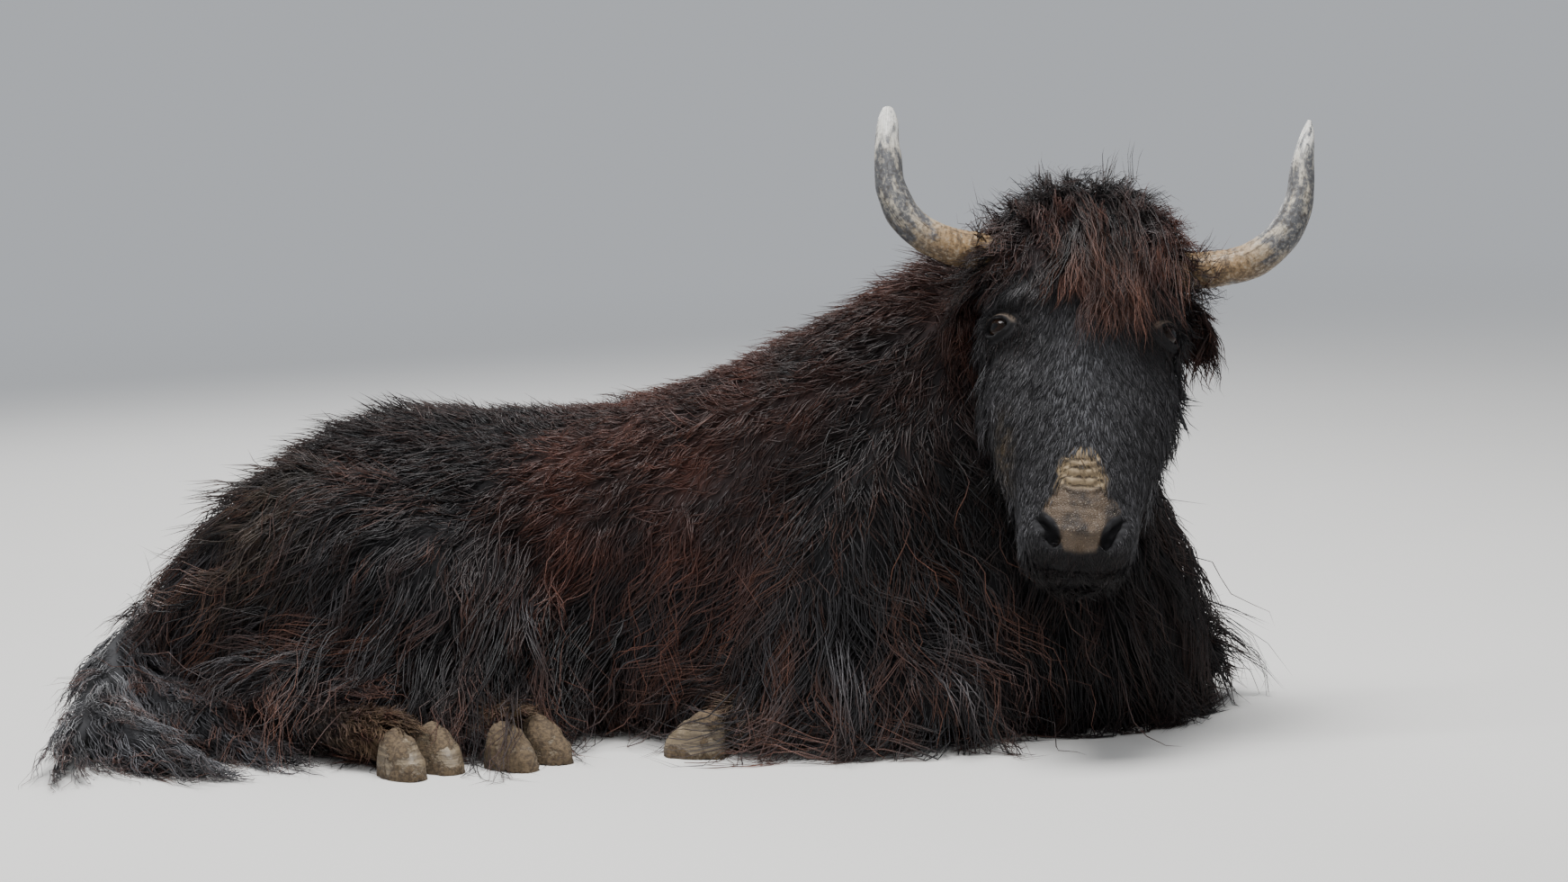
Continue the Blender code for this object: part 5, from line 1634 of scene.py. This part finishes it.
@dataclass(frozen=True)
class HornFinish:
    """Weathered horn: ochre with dark rings at the root, marbled slate, pale tip, and painted
    shade on the underside.
    """

    ochre: Row = (0.235, 0.148, 0.07, 1)
    umber: Row = (0.03, 0.021, 0.014, 1)
    bone: Row = (0.4, 0.36, 0.285, 1)
    slate: Row = (0.048, 0.053, 0.064, 1)
    tip: Row = (0.5, 0.49, 0.455, 1)

    def build(self) -> Material:
        """The material."""
        material, nodes, shader = new_material("horn_sheath")
        round_, place = nodes.attribute("sheath", "Vector"), nodes.object_place()
        under, along, _ = nodes.parts(nodes.attribute("wear_and_shade", "Vector"))
        blotch = nodes.noise(nodes.stretched(round_, (1.0, 1.0, 7.5)), 1.15, 7.0, 0.66)
        grain = nodes.noise(place, 190.0, 4.0, 0.65)
        cracks = nodes.noise(nodes.stretched(round_, (9.0, 9.0, 5.0)), 1.0, 4.0, 0.6)
        cracks = nodes.ranged(cracks, 0.58, 0.62)
        rings = nodes.noise(nodes.stretched(round_, (0.6, 0.6, 40.0)), 1.3, 4.0, 0.6)
        near = nodes.ranged(along, 0.5, 0.1)
        colour = nodes.mix(nodes.ranged(along, 0.22, 0.5), self.ochre, self.bone)
        colour = nodes.mix(nodes.ranged(along, 0.62, 0.82), colour, self.tip)
        # Painted shade: the underside goes umber, more so towards the root.
        shade = nodes.maths("MULTIPLY", under, nodes.ranged(along, 0.8, 0.5, 0.0, 0.6))
        colour = nodes.mix(shade, colour, self.umber)
        ringed = nodes.maths("MULTIPLY", nodes.ranged(rings, 0.5, 0.6), near)
        colour = nodes.mix(nodes.maths("MULTIPLY", ringed, 0.7), colour, self.umber)
        middle = nodes.maths("ADD", nodes.ranged(along, 0.25, 0.48, -0.12, 0.06),
                             nodes.ranged(along, 0.62, 0.92, 0.0, -0.14))
        level = nodes.maths("ADD", blotch, middle)
        dark = nodes.ranged(level, 0.42, 0.57, 0.0, 0.92)
        colour = nodes.mix(dark, colour, self.slate)
        specks = nodes.maths("MULTIPLY", nodes.ranged(grain, 0.52, 0.6),
                             nodes.ranged(along, 0.9, 0.5, 0.18, 0.55))
        colour = nodes.mix(specks, colour, self.umber)
        flecks = nodes.maths("MULTIPLY", nodes.ranged(grain, 0.46, 0.4), 0.3)
        colour = nodes.mix(flecks, colour, self.bone)
        split = nodes.maths("MULTIPLY", cracks, nodes.ranged(along, 0.1, 0.9, 0.6, 0.25))
        colour = nodes.mix(split, colour, self.umber)
        height = nodes.maths("SUBTRACT", nodes.maths("MULTIPLY", rings, near),
                             nodes.maths("MULTIPLY", cracks, 0.5))
        nodes.feed(shader, Base_Color=colour, Roughness=nodes.ranged(grain, 0.3, 0.7, 0.38, 0.6),
                   Specular_IOR_Level=0.3,
                   Normal=nodes.bump(0.5, 0.0015, height, nodes.maths("MULTIPLY", grain, 0.4)))
        return material


@dataclass(frozen=True)
class ClawFinish:
    """Pale greyish tan hoof horn under patches of dried mud."""

    caking: float = 0.5
    horn: Row = (0.185, 0.142, 0.09, 1)
    mud: Row = (0.115, 0.08, 0.045, 1)
    mud_dark: Row = (0.05, 0.034, 0.02, 1)
    dark: Row = (0.03, 0.022, 0.016, 1)

    def build(self) -> Material:
        """The material."""
        material, nodes, shader = new_material(f"claw_horn_{round(self.caking * 100)}")
        place = nodes.object_place()
        level = nodes.parts(place)[2]
        crust = nodes.noise(place, 30.0, 6.0, 0.62)
        fine = nodes.noise(place, 210.0, 3.0)
        rings = nodes.noise(nodes.stretched(place, (0.25, 0.25, 3.2)), 70.0, 2.0)
        caked = nodes.maths("ADD", crust, nodes.ranged(level, 0.03, 0.055, 0.0, 0.12))
        caked = nodes.maths("ADD", caked, nodes.ranged(level, 0.014, 0.0, 0.0, 0.12))
        caked = nodes.ranged(caked, self.caking, self.caking + 0.08)
        colour = nodes.mix(nodes.ranged(rings, 0.4, 0.62, 0.0, 0.6), self.horn, self.dark)
        mud = nodes.mix(nodes.ranged(fine, 0.35, 0.65), self.mud_dark, self.mud)
        colour = nodes.mix(caked, colour, mud)
        colour = nodes.mix(nodes.maths("MULTIPLY", nodes.ranged(fine, 0.58, 0.75), 0.5),
                           colour, self.dark)
        heights = [nodes.maths("MULTIPLY", value, share) for value, share in
                   ((crust, 0.7), (caked, 0.6), (fine, 0.5), (rings, 0.4))]
        nodes.feed(shader, Base_Color=colour, Roughness=nodes.ranged(caked, 0.0, 1.0, 0.55, 0.95),
                   Normal=nodes.bump(0.9, 0.0035, *heights))
        return material


@dataclass(frozen=True)
class EyeFinish:
    """Wet dark eye with a brown iris and a long pupil."""

    iris: Row = (0.01, 0.005, 0.003, 1)
    pupil: Row = (0.001, 0.001, 0.0012, 1)
    white: Row = (0.012, 0.009, 0.008, 1)

    def build(self) -> Material:
        """The material."""
        material, nodes, shader = new_material("eye_surface")
        down, wide, _ = nodes.parts(nodes.attribute("gaze", "Vector"))
        squared = nodes.maths("ADD", nodes.maths("POWER", nodes.maths("MULTIPLY", down, 1.7), 2.0),
                              nodes.maths("POWER", wide, 2.0))
        radius = nodes.maths("SQRT", squared)
        round_ = nodes.maths("SQRT", nodes.maths(
            "ADD", nodes.maths("POWER", down, 2.0), nodes.maths("POWER", wide, 2.0)))
        colour = nodes.mix(nodes.ranged(round_, 0.62, 0.72), self.iris, self.white)
        colour = nodes.mix(nodes.ranged(radius, 0.42, 0.34), colour, self.pupil)
        nodes.feed(shader, Base_Color=colour, Roughness=0.05, Specular_IOR_Level=0.25)
        return material


@dataclass(frozen=True)
class FloorFinish:
    """Pale matt studio floor that goes over into the backdrop far away."""

    tone: Row = (0.6, 0.59, 0.57, 1)
    backdrop: Row = (0.47, 0.49, 0.52, 1)
    fade: Row = (1.6, 7.5)

    def build(self) -> Material:
        """The material."""
        material, nodes, shader = new_material("studio_floor")
        place = nodes.object_place()
        cloud = nodes.noise(place, 1.3, 2.0)
        away = nodes.add("ShaderNodeVectorMath", {"operation": "LENGTH"}, i0=place).outputs[1]
        share = nodes.ranged(away, *self.fade)
        darker = tuple(value * 0.95 for value in self.tone[:3]) + (1,)
        near = nodes.mix(cloud, darker, self.tone)
        black = (0, 0, 0, 1)
        nodes.feed(shader, Base_Color=nodes.mix(share, near, black), Roughness=0.9,
                   Specular_IOR_Level=0.0, Emission_Strength=1.0,
                   Emission_Color=nodes.mix(share, black, self.backdrop))
        return material


# The animal


@dataclass
class Skin:
    """One skin over all the flesh, from which the coat grows."""

    trunk: Trunk = field(default_factory=Trunk)
    head: Head = field(default_factory=Head)

    def build(self, finish: Material) -> tuple[CoatMap, Array]:
        """Make the skin.

        Args:
            finish: Its material.

        Returns:
            The map of its coat, and its unwrap by triangle corner.
        """
        obj = cut(self.trunk.build(), "UNION", self.head.build())
        obj.name = obj.data.name = "skin"
        with edited(obj.data) as bm:
            bmesh.ops.triangulate(bm, faces=bm.faces[:])
        coat_map = CoatMap(obj, self.trunk.forms() + self.head.forms())
        self.mark(obj.data, coat_map)
        spots = self.unwrap(obj)
        hand_in(obj, finish, "body_coat", *FLESH_NODES)
        return coat_map, spots

    def mark(self, mesh: Mesh, coat_map: CoatMap) -> None:
        """Store colour marks with painted shade and sheen, bare places and the head's frame on the
        skin.
        """
        set_attribute(mesh, "markings", "FLOAT_COLOR", coat_map.shares())
        lid = np.zeros(len(coat_map.points))
        for sign in (-1, 1):
            fall, across, _, arc, apart = self.head.about_eye(coat_map.points, sign)
            across = across * -sign
            crescent = step_up(0.0024, 0.0008, np.abs(arc - 0.016 - 0.05 * across))
            crescent *= step_up(0.003, -0.006, fall + 0.05 * across)
            lid += crescent * (apart < 0.034)
        bare = np.column_stack([coat_map.nose_pad(), np.clip(lid, 0, 1), coat_map.nose_band()])
        set_attribute(mesh, "bare", "FLOAT_COLOR", bare)
        set_attribute(mesh, "face", "FLOAT_VECTOR", coat_map.face)

    def unwrap(self, obj: Object) -> Array:
        """Unwrap the skin's own shape and give back each triangle's corners on it."""
        mesh = obj.data
        mesh.uv_layers.new(name=UV_MAP)
        bpy.context.view_layer.objects.active = obj
        obj.select_set(True)
        bpy.ops.object.mode_set(mode="EDIT")
        bpy.ops.mesh.select_all(action="SELECT")
        bpy.ops.uv.smart_project(angle_limit=math.radians(75), island_margin=0.002)
        bpy.ops.object.mode_set(mode="OBJECT")
        obj.select_set(False)
        flat = read(mesh.uv_layers[UV_MAP].data, "uv", 2, np.float32)
        return flat.reshape(-1, 3, 2).astype(float)


@dataclass
class Eyes:
    """Both eyeballs, a little fuller over the iris."""

    bulge: float = 0.0012

    def build(self, head: Head, finish: Material) -> None:
        """Make each eyeball in its node's place."""
        for sign, node in ((-1, "eye_right"), (1, "eye_left")):
            centre, axes = head.eye_frame(sign)
            form = ball(np.zeros(3), np.eye(3), 48, 64)
            local = unit(form.points)
            grow = EYE_RADIUS + self.bulge * step_up(0.75, 0.95, local[:, 2])
            obj = add_mesh(node.replace("eye", "eyeball"),
                           centre + (local * grow[:, None]) @ np.array(axes), form.faces)
            set_attribute(obj.data, "gaze", "FLOAT_VECTOR", local)
            hand_in(obj, finish, "eye", node)


@dataclass
class Horns:
    """Both horns, with growth rings near the root and a dented sheath."""

    sides: int = 48
    ring_height: float = 0.0004
    dent: float = 0.0006

    def build(self, finish: Material) -> None:
        """Make each horn in its node's place."""
        for node, rows in (("horn_right", HORN_RIGHT), ("horn_left", HORN_LEFT)):
            local = smooth_rows(rows, 14)
            path = np.column_stack([from_face(local[:, :3]), local[:, 3]])
            share = np.linspace(0, 1, len(path))
            rings = np.sin(share * 190 + 4 * np.sin(share * 31)) * self.ring_height
            path[:, 3] += rings * step_up(0.5, 0.05, share)
            form = tube(Region.HEAD, path, self.sides, domed=False)
            count = len(form.rings)
            angle = np.tile(2 * math.pi * np.arange(self.sides) / self.sides, count)
            along = np.repeat(share, self.sides)
            points = form.points
            middle = np.repeat(form.rings.mean(axis=1), self.sides, axis=0)
            dents = self.dent * drift(points, 0.03, 61)
            points = points + unit(points - middle) * dents[:, None]
            obj = add_mesh(node + "_sheath", points, form.faces)
            sheath = np.column_stack([np.cos(angle), np.sin(angle), along])
            set_attribute(obj.data, "sheath", "FLOAT_VECTOR", sheath)
            # Painted shade: how far the horn's surface faces down, for darkening its underside.
            under = step_up(0.35, -0.75, unit(points - middle)[:, 2])
            wear_and_shade = np.column_stack([under, along, 0.0 * along])
            set_attribute(obj.data, "wear_and_shade", "FLOAT_VECTOR", wear_and_shade)
            turn_outwards(obj.data)
            hand_in(obj, finish, "horn", node)


@dataclass
class Claws:
    """All eight claws: rounded wedges, flat below, with uneven walls."""

    sides: int = 36
    roughness: float = 0.0016

    def build(self, wear_and_shade: Material, caked: Material) -> None:
        """Make each claw in its node's place, the muddy foot's with the caked finish."""
        profile = smooth_rows(((0.0, 0.62, 0.6), (0.08, 0.88, 0.92), (0.3, 1.0, 1.0),
                               (0.62, 0.9, 0.8), (0.88, 0.62, 0.48), (1.0, 0.26, 0.22)), 5)
        for node, heel, toe, half_width, height in CLAWS:
            heel, toe = np.array(heel), np.array(toe)
            run = unit(toe - heel)
            side = np.cross(-DOWN, run)
            rings = [rounded_ring(heel + (toe - heel) * share, side, -DOWN, half_width * width,
                                  height * rise, 0.0, 2.4, self.sides)
                     for share, width, rise in profile]
            form = Form(Region.FOOT, np.array(rings))
            points = form.points
            middle = np.repeat(form.rings.mean(axis=1), self.sides, axis=0)
            muddy = node.startswith("claw_hind_left")
            wear = self.roughness * drift(points, 0.02, 71) - 0.0005
            wear += muddy * self.roughness * drift(points, 0.007, 72)
            points = points + unit(points - middle) * wear[:, None]
            points[:, 2] = np.maximum(points[:, 2], 0.0)
            obj = add_mesh(node + "_wall", points, form.faces)
            hand_in(obj, caked if muddy else wear_and_shade, "hoof_horn", node)


def forelock_reach(roots: Roots) -> Array:
    """Way from the forelock's roots to its tips: most meet low on the left."""
    w, s, f = to_face(roots.places).T
    fall = 0.172 - np.where(w > 0.04, 2.0, 0.9) * np.abs(w - 0.04)
    middle = np.column_stack([0.04 + 0.32 * (w - 0.03), np.maximum(fall, 0.06), 0.012 + 0.0 * w])
    right = np.column_stack([w - 0.05, s + 0.075, f - 0.01])
    left = np.column_stack([w + 0.035, s + 0.06, f - 0.01])
    share_right = step_up(-0.05, -0.08, w)[:, None]
    share_left = step_up(0.08, 0.1, w)[:, None]
    tips = middle * (1 - share_right) + right * share_right
    tips = tips * (1 - share_left) + left * share_left
    return (tips - np.column_stack([w, s, f])) @ FACE


def crest_reach(roots: Roots) -> Array:
    """Way from the crest's roots to its tips: short on top, long over the horns."""
    local = to_face(roots.places)
    side = step_up(0.045, 0.095, np.abs(local[:, 0]))[:, None]
    out = np.outer(local[:, 0] * 9.0, ASIDE) - ALONG * 0.15 + roots.normals * 0.4
    aside = np.outer(np.sign(local[:, 0]), ASIDE) + ALONG * 0.55 + OUT * 0.5
    middle = step_up(0.06, 0.0, np.abs(local[:, 0] - 0.01))[:, None]
    return unit(out * (1 - side) + aside * side) * (0.044 + 0.028 * side - 0.01 * middle)


def ear_reach(roots: Roots) -> Array:
    """Way from the ears' roots to the tips of their wisps: outwards and down."""
    side = np.sign(to_face(roots.places)[:, 0])
    return unit(np.outer(side * 0.35, ASIDE) + ALONG * 0.6 + DOWN * 0.8) * 0.052


def pastern_reach(roots: Roots) -> Array:
    """Way of the hair over the claws: towards the nearest toe, and down."""
    heels, toes = (np.array([claw[index] for claw in CLAWS]) for index in (1, 2))
    apart = np.linalg.norm(roots.places[:, None, :2] - heels[None, :, :2], axis=2)
    runs = unit(toes - heels)[apart.argmin(axis=1)]
    return unit(runs - DOWN * 0.1) * 0.056


def hem_reach(roots: Roots) -> Array:
    """Way of the lowest hair: down, and outwards over the floor."""
    side = np.sign(roots.places[:, 1])
    way = np.column_stack([-0.12 + 0.0 * side, 0.72 * side, -0.62 + 0.0 * side])
    return unit(way) * (0.17 + roots.places[:, 2] * 0.55)[:, None]


def fan_reach(roots: Roots) -> Array:
    """Way of the long locks: spread from the elbow, swept back from the hip."""
    x, y, _ = roots.places.T
    ahead = np.where(x > 0.1, np.clip((x - 0.41) * 4.0, -0.6, 0.8), -0.62)
    way = unit(np.column_stack([ahead, 0.22 * np.sign(y), -0.8 + 0.0 * x]))
    return way * np.where(x > 0.1, 0.215, 0.2)[:, None]


def brush_reach(roots: Roots) -> Array:
    """Way of the tail's hair: along the tail, a little down."""
    return unit(roots.lies + DOWN * 0.12) * (0.9 * roots.values[:, :1])


def lash_reach(roots: Roots) -> Array:
    """Way from the upper lids' rims to the tips of the lashes: out and down."""
    side = np.sign(to_face(roots.places)[:, 0])
    return unit(np.outer(side * 0.75, ASIDE) + OUT * 0.5 + ALONG * 0.45) * 0.015


def coat_layers() -> list[Layer]:
    """The layers of the coat, from the face's short hair to the crest."""

    def window(skin: CoatMap, centre: Row, reach: Row) -> Array:
        """A patch of the head."""
        return patch(skin.face, centre, reach) * (skin.head > 0.4)

    def short(skin: CoatMap) -> Array:
        """The short hair of face and feet."""
        return step_up(0.036, 0.028, skin.length) * (1.0 - 0.5 * step_up(0.3, 0.1, skin.head))

    def wool(skin: CoatMap) -> Array:
        """The coat of the back, neither short nor long."""
        return step_up(0.022, 0.032, skin.length) * step_up(0.1, 0.07, skin.length)

    def middling(skin: CoatMap) -> Array:
        """All but the short hair and the tail."""
        return step_up(0.034, 0.06, skin.length) * (skin.region != Region.TAIL.value)

    def lengthy(skin: CoatMap) -> Array:
        """The long hair of belly, legs and neck."""
        return step_up(0.07, 0.11, skin.length) * (skin.region != Region.TAIL.value)

    def forelock(skin: CoatMap) -> Array:
        """The brow between the horns."""
        return window(skin, (0.01, 0.0, -0.01), (0.085, 0.042, 0.06))

    def crest(skin: CoatMap) -> Array:
        """The top of the head and the horns' roots."""
        top = window(skin, (0.0, -0.02, -0.07), (0.1, 0.045, 0.07))
        sides = patch(np.abs(skin.face), (0.105, 0.02, 0.07), (0.03, 0.035, 0.05))
        return np.maximum(top, sides * (skin.head > 0.4) * (skin.region != Region.EAR.value))

    def fans(skin: CoatMap) -> Array:
        """The shoulders and the thighs."""
        spots = np.abs(skin.points) * (0, 1, 0) + skin.points * (1, 0, 1)
        fore = patch(spots, (0.44, 0.28, 0.24), (0.16, 0.14, 0.11))
        thigh = patch(spots, (-0.34, 0.28, 0.27), (0.26, 0.14, 0.11))
        return np.maximum(fore, thigh) * (skin.head < 0.1)

    def lid_rims(skin: CoatMap) -> Array:
        """The rims of the upper lids."""
        rims = np.zeros(len(skin.points))
        for sign in (-1, 1):
            fall, _, ahead, arc, _ = Head().about_eye(skin.points, sign)
            rims += (np.abs(arc - 0.013) < 0.0012) * (fall < -0.002) * (ahead > 0)
        return rims

    def pasterns(skin: CoatMap) -> Array:
        """The feet over the claws."""
        near = np.zeros(len(skin.points))
        for _, heel, _, _, height in CLAWS:
            around = patch(skin.points, (heel[0], heel[1], height * 1.25), (0.06, 0.06, 0.04))
            near = np.maximum(near, around * (skin.points[:, 2] > height * 0.95))
        return near * (skin.head < 0.1)

    def only(region: Region) -> Callable[[CoatMap], Array]:
        """One region and nothing else."""
        return lambda skin: (skin.region == region.value).astype(float)

    def hem(skin: CoatMap) -> Array:
        """The lowest part of the belly."""
        x, _, z = skin.points.T
        low = step_up(0.21, 0.15, z) * step_up(0.03, 0.06, z)
        run = step_up(-0.3, -0.16, x) * step_up(0.15, 0.04, x)
        return low * run * np.isin(skin.region, (Region.TORSO.value, Region.UPPER_LEG.value))

    def low_flank(skin: CoatMap) -> Array:
        """The long hair low on the flank."""
        low = step_up(0.3, 0.12, skin.points[:, 2]) * step_up(0.52, 0.42, skin.points[:, 0])
        low = low * (skin.region != Region.TAIL.value)
        return low * (1 - skin.head) * step_up(0.06, 0.1, skin.length)

    face = "face_coat"
    return [
        Layer("short", 19_700, 5, 3, 0.001, short, gather=0.1, wave=0.03, wave_size=0.02,
              stray=0.03, lift=0.5, stretch=1.25, bend=0.08, uneven=0.16, mottle=0.15,
              slot=face),
        Layer("wool", 22_500, 8, 3, 0.0018, wool, gather=0.45, wave=0.16, wave_size=0.034,
              bend=0.34, stray=0.1),
        Layer("middle", 11_300, 10, 4, 0.0018, middling, stretch=0.8, gather=0.6, wave=0.12,
              wave_size=0.055, bend=0.24, hangs=True),
        Layer("fans", 1_900, 18, 9, 0.0017, fans, gather=0.8, wave=0.17, wave_size=0.11,
              bend=0.3, sag=0.1, hangs=True, tips=0.8, uneven=0.2, swirl=0.5,
              stands=0.12, reach=fan_reach),
        Layer("long", 8_200, 17, 7, 0.0017, lengthy, stretch=1.05, gather=0.76, wave=0.13,
              wave_size=0.09, bend=0.26, sag=0.15, hangs=True, tips=0.15),
        Layer("hem", 1_400, 17, 8, 0.0016, hem, gather=0.72, wave=0.13, wave_size=0.09,
              bend=0.3, sag=0.25, hangs=True, tips=0.3, reach=hem_reach),
        Layer("brush", 2_300, 14, 7, 0.0016, only(Region.TAIL), gather=0.6, wave=0.13,
              wave_size=0.055, bend=0.1, lift=0.5, hangs=True, tips=0.3, swirl=0.1,
              reach=brush_reach, slot="tail_hair"),
        Layer("forelock", 2_100, 12, 8, 0.0014, forelock, stretch=1.04, gather=0.74,
              wave=0.08, wave_size=0.06, hangs=True, reach=forelock_reach, tips=0.85,
              swirl=0.08, bend=0.1, uneven=0.12, slot=face),
        Layer("crest", 3_100, 13, 7, 0.0014, crest, gather=0.6, wave=0.42, wave_size=0.028,
              stands=0.3, hangs=True, sag=0.35, reach=crest_reach, tips=0.15, bend=0.6,
              stray=0.07, slot=face),
        Layer("pastern", 2_000, 7, 4, 0.0018, pasterns, gather=0.3, wave=0.1,
              wave_size=0.03, reach=pastern_reach, stands=0.1, bend=0.2, stray=0.08,
              tips=0.3, sag=0.28, lift=0.3),
        Layer("lashes", 90, 2, 5, 0.0006, lid_rims, reach=lash_reach, lift=0.0, stands=0.1,
              stray=0.04, bend=0.1, wave=0.0, on_bare=True, slot=face),
        Layer("wisps", 450, 4, 9, 0.0012, low_flank, stretch=1.05, gather=0.7, wave=0.2,
              wave_size=0.085, bend=0.5, sag=0.2, hangs=True, tips=0.9, swirl=0.4),
        Layer("ears", 500, 10, 6, 0.0013, only(Region.EAR), gather=0.7, wave=0.12,
              wave_size=0.045, hangs=True, sag=0.4, reach=ear_reach, bend=0.2, slot=face),
    ]


@dataclass
class Studio:
    """Pale floor, soft lights and the camera."""

    lens: float = 94.18
    azimuth: float = 25.0
    elevation: float = 7.0
    roll: float = 3.0
    distance: float = 5.6
    sensor: float = 36.0
    look: Row = (0.26, 0.0, 0.37)
    lit: Row = (0.1, -0.1, 0.25)
    floor_reach: float = 90.0

    def floor(self) -> None:
        """Wide floor under the animal."""
        corners = np.array([(-1, -1, 0), (1, -1, 0), (1, 1, 0), (-1, 1, 0)]) * self.floor_reach
        obj = add_mesh("studio_floor", corners, [(0, 1, 2, 3)])
        obj.location.z = -SHIFT[2]
        obj.data.materials.append(FloorFinish().build())

    def light(self, name: str, place: Row, size: float, power: float) -> None:
        """Square soft light that faces the animal."""
        data = bpy.data.lights.new(name, "AREA")
        data.shape, data.size, data.energy = "SQUARE", size, power
        obj = placed(name, data)
        obj.location = Vector(place) + Vector(SHIFT)
        obj.rotation_mode = "QUATERNION"
        aim = Vector(self.lit) - Vector(place)
        obj.rotation_quaternion = aim.to_track_quat("-Z", "Y")

    def camera(self) -> None:
        """Camera at the angle of the picture."""
        turn, rise, roll = (math.radians(a) for a in (self.azimuth, self.elevation, self.roll))
        back = Vector((math.sin(turn) * math.cos(rise), -math.cos(turn) * math.cos(rise),
                       math.sin(rise)))
        right = Vector((math.cos(turn), math.sin(turn), 0.0))
        up = back.cross(right)
        level_right = right * math.cos(roll) - up * math.sin(roll)
        level_up = right * math.sin(roll) + up * math.cos(roll)
        data = bpy.data.cameras.new("picture_camera")
        data.lens, data.sensor_width = self.lens, self.sensor
        obj = placed("picture_camera", data)
        turned = Matrix((level_right, level_up, back)).transposed().to_4x4()
        place = Vector(self.look) + back * self.distance + Vector(SHIFT)
        obj.matrix_world = Matrix.Translation(place) @ turned
        bpy.context.scene.camera = obj

    def build(self) -> None:
        """Set the whole studio up."""
        self.floor()
        self.light("top", (0.4, -0.7, 4.2), 1.8, 345.0)
        self.light("front", (2.8, -4.4, 3.0), 1.3, 95.0)
        self.light("back", (-2.6, 3.0, 2.4), 2.0, 110.0)
        world = bpy.data.worlds.new("studio")
        world.use_nodes = True
        background = world.node_tree.nodes["Background"]
        background.inputs[0].default_value = FloorFinish.backdrop
        background.inputs[1].default_value = 1.0
        bpy.context.scene.world = world
        self.camera()


def main() -> None:
    """Build the animal and its studio in order."""
    logging.basicConfig(level=logging.INFO, format="%(name)s: %(message)s")
    tone = CoatTone().build()
    skin = Skin()
    coat_map, spots = skin.build(SkinFinish().build(tone))
    Eyes().build(skin.head, EyeFinish().build())
    Horns().build(HornFinish().build())
    Claws().build(ClawFinish().build(), ClawFinish(caking=0.4).build())
    coat = Coat(coat_map, spots, HairFinish().build(tone))
    total = sum(coat.grow(layer) for layer in coat_layers())
    LOG.info("coat: %d triangles in all", total)
    Studio().build()


if __name__ == "__main__":
    main()
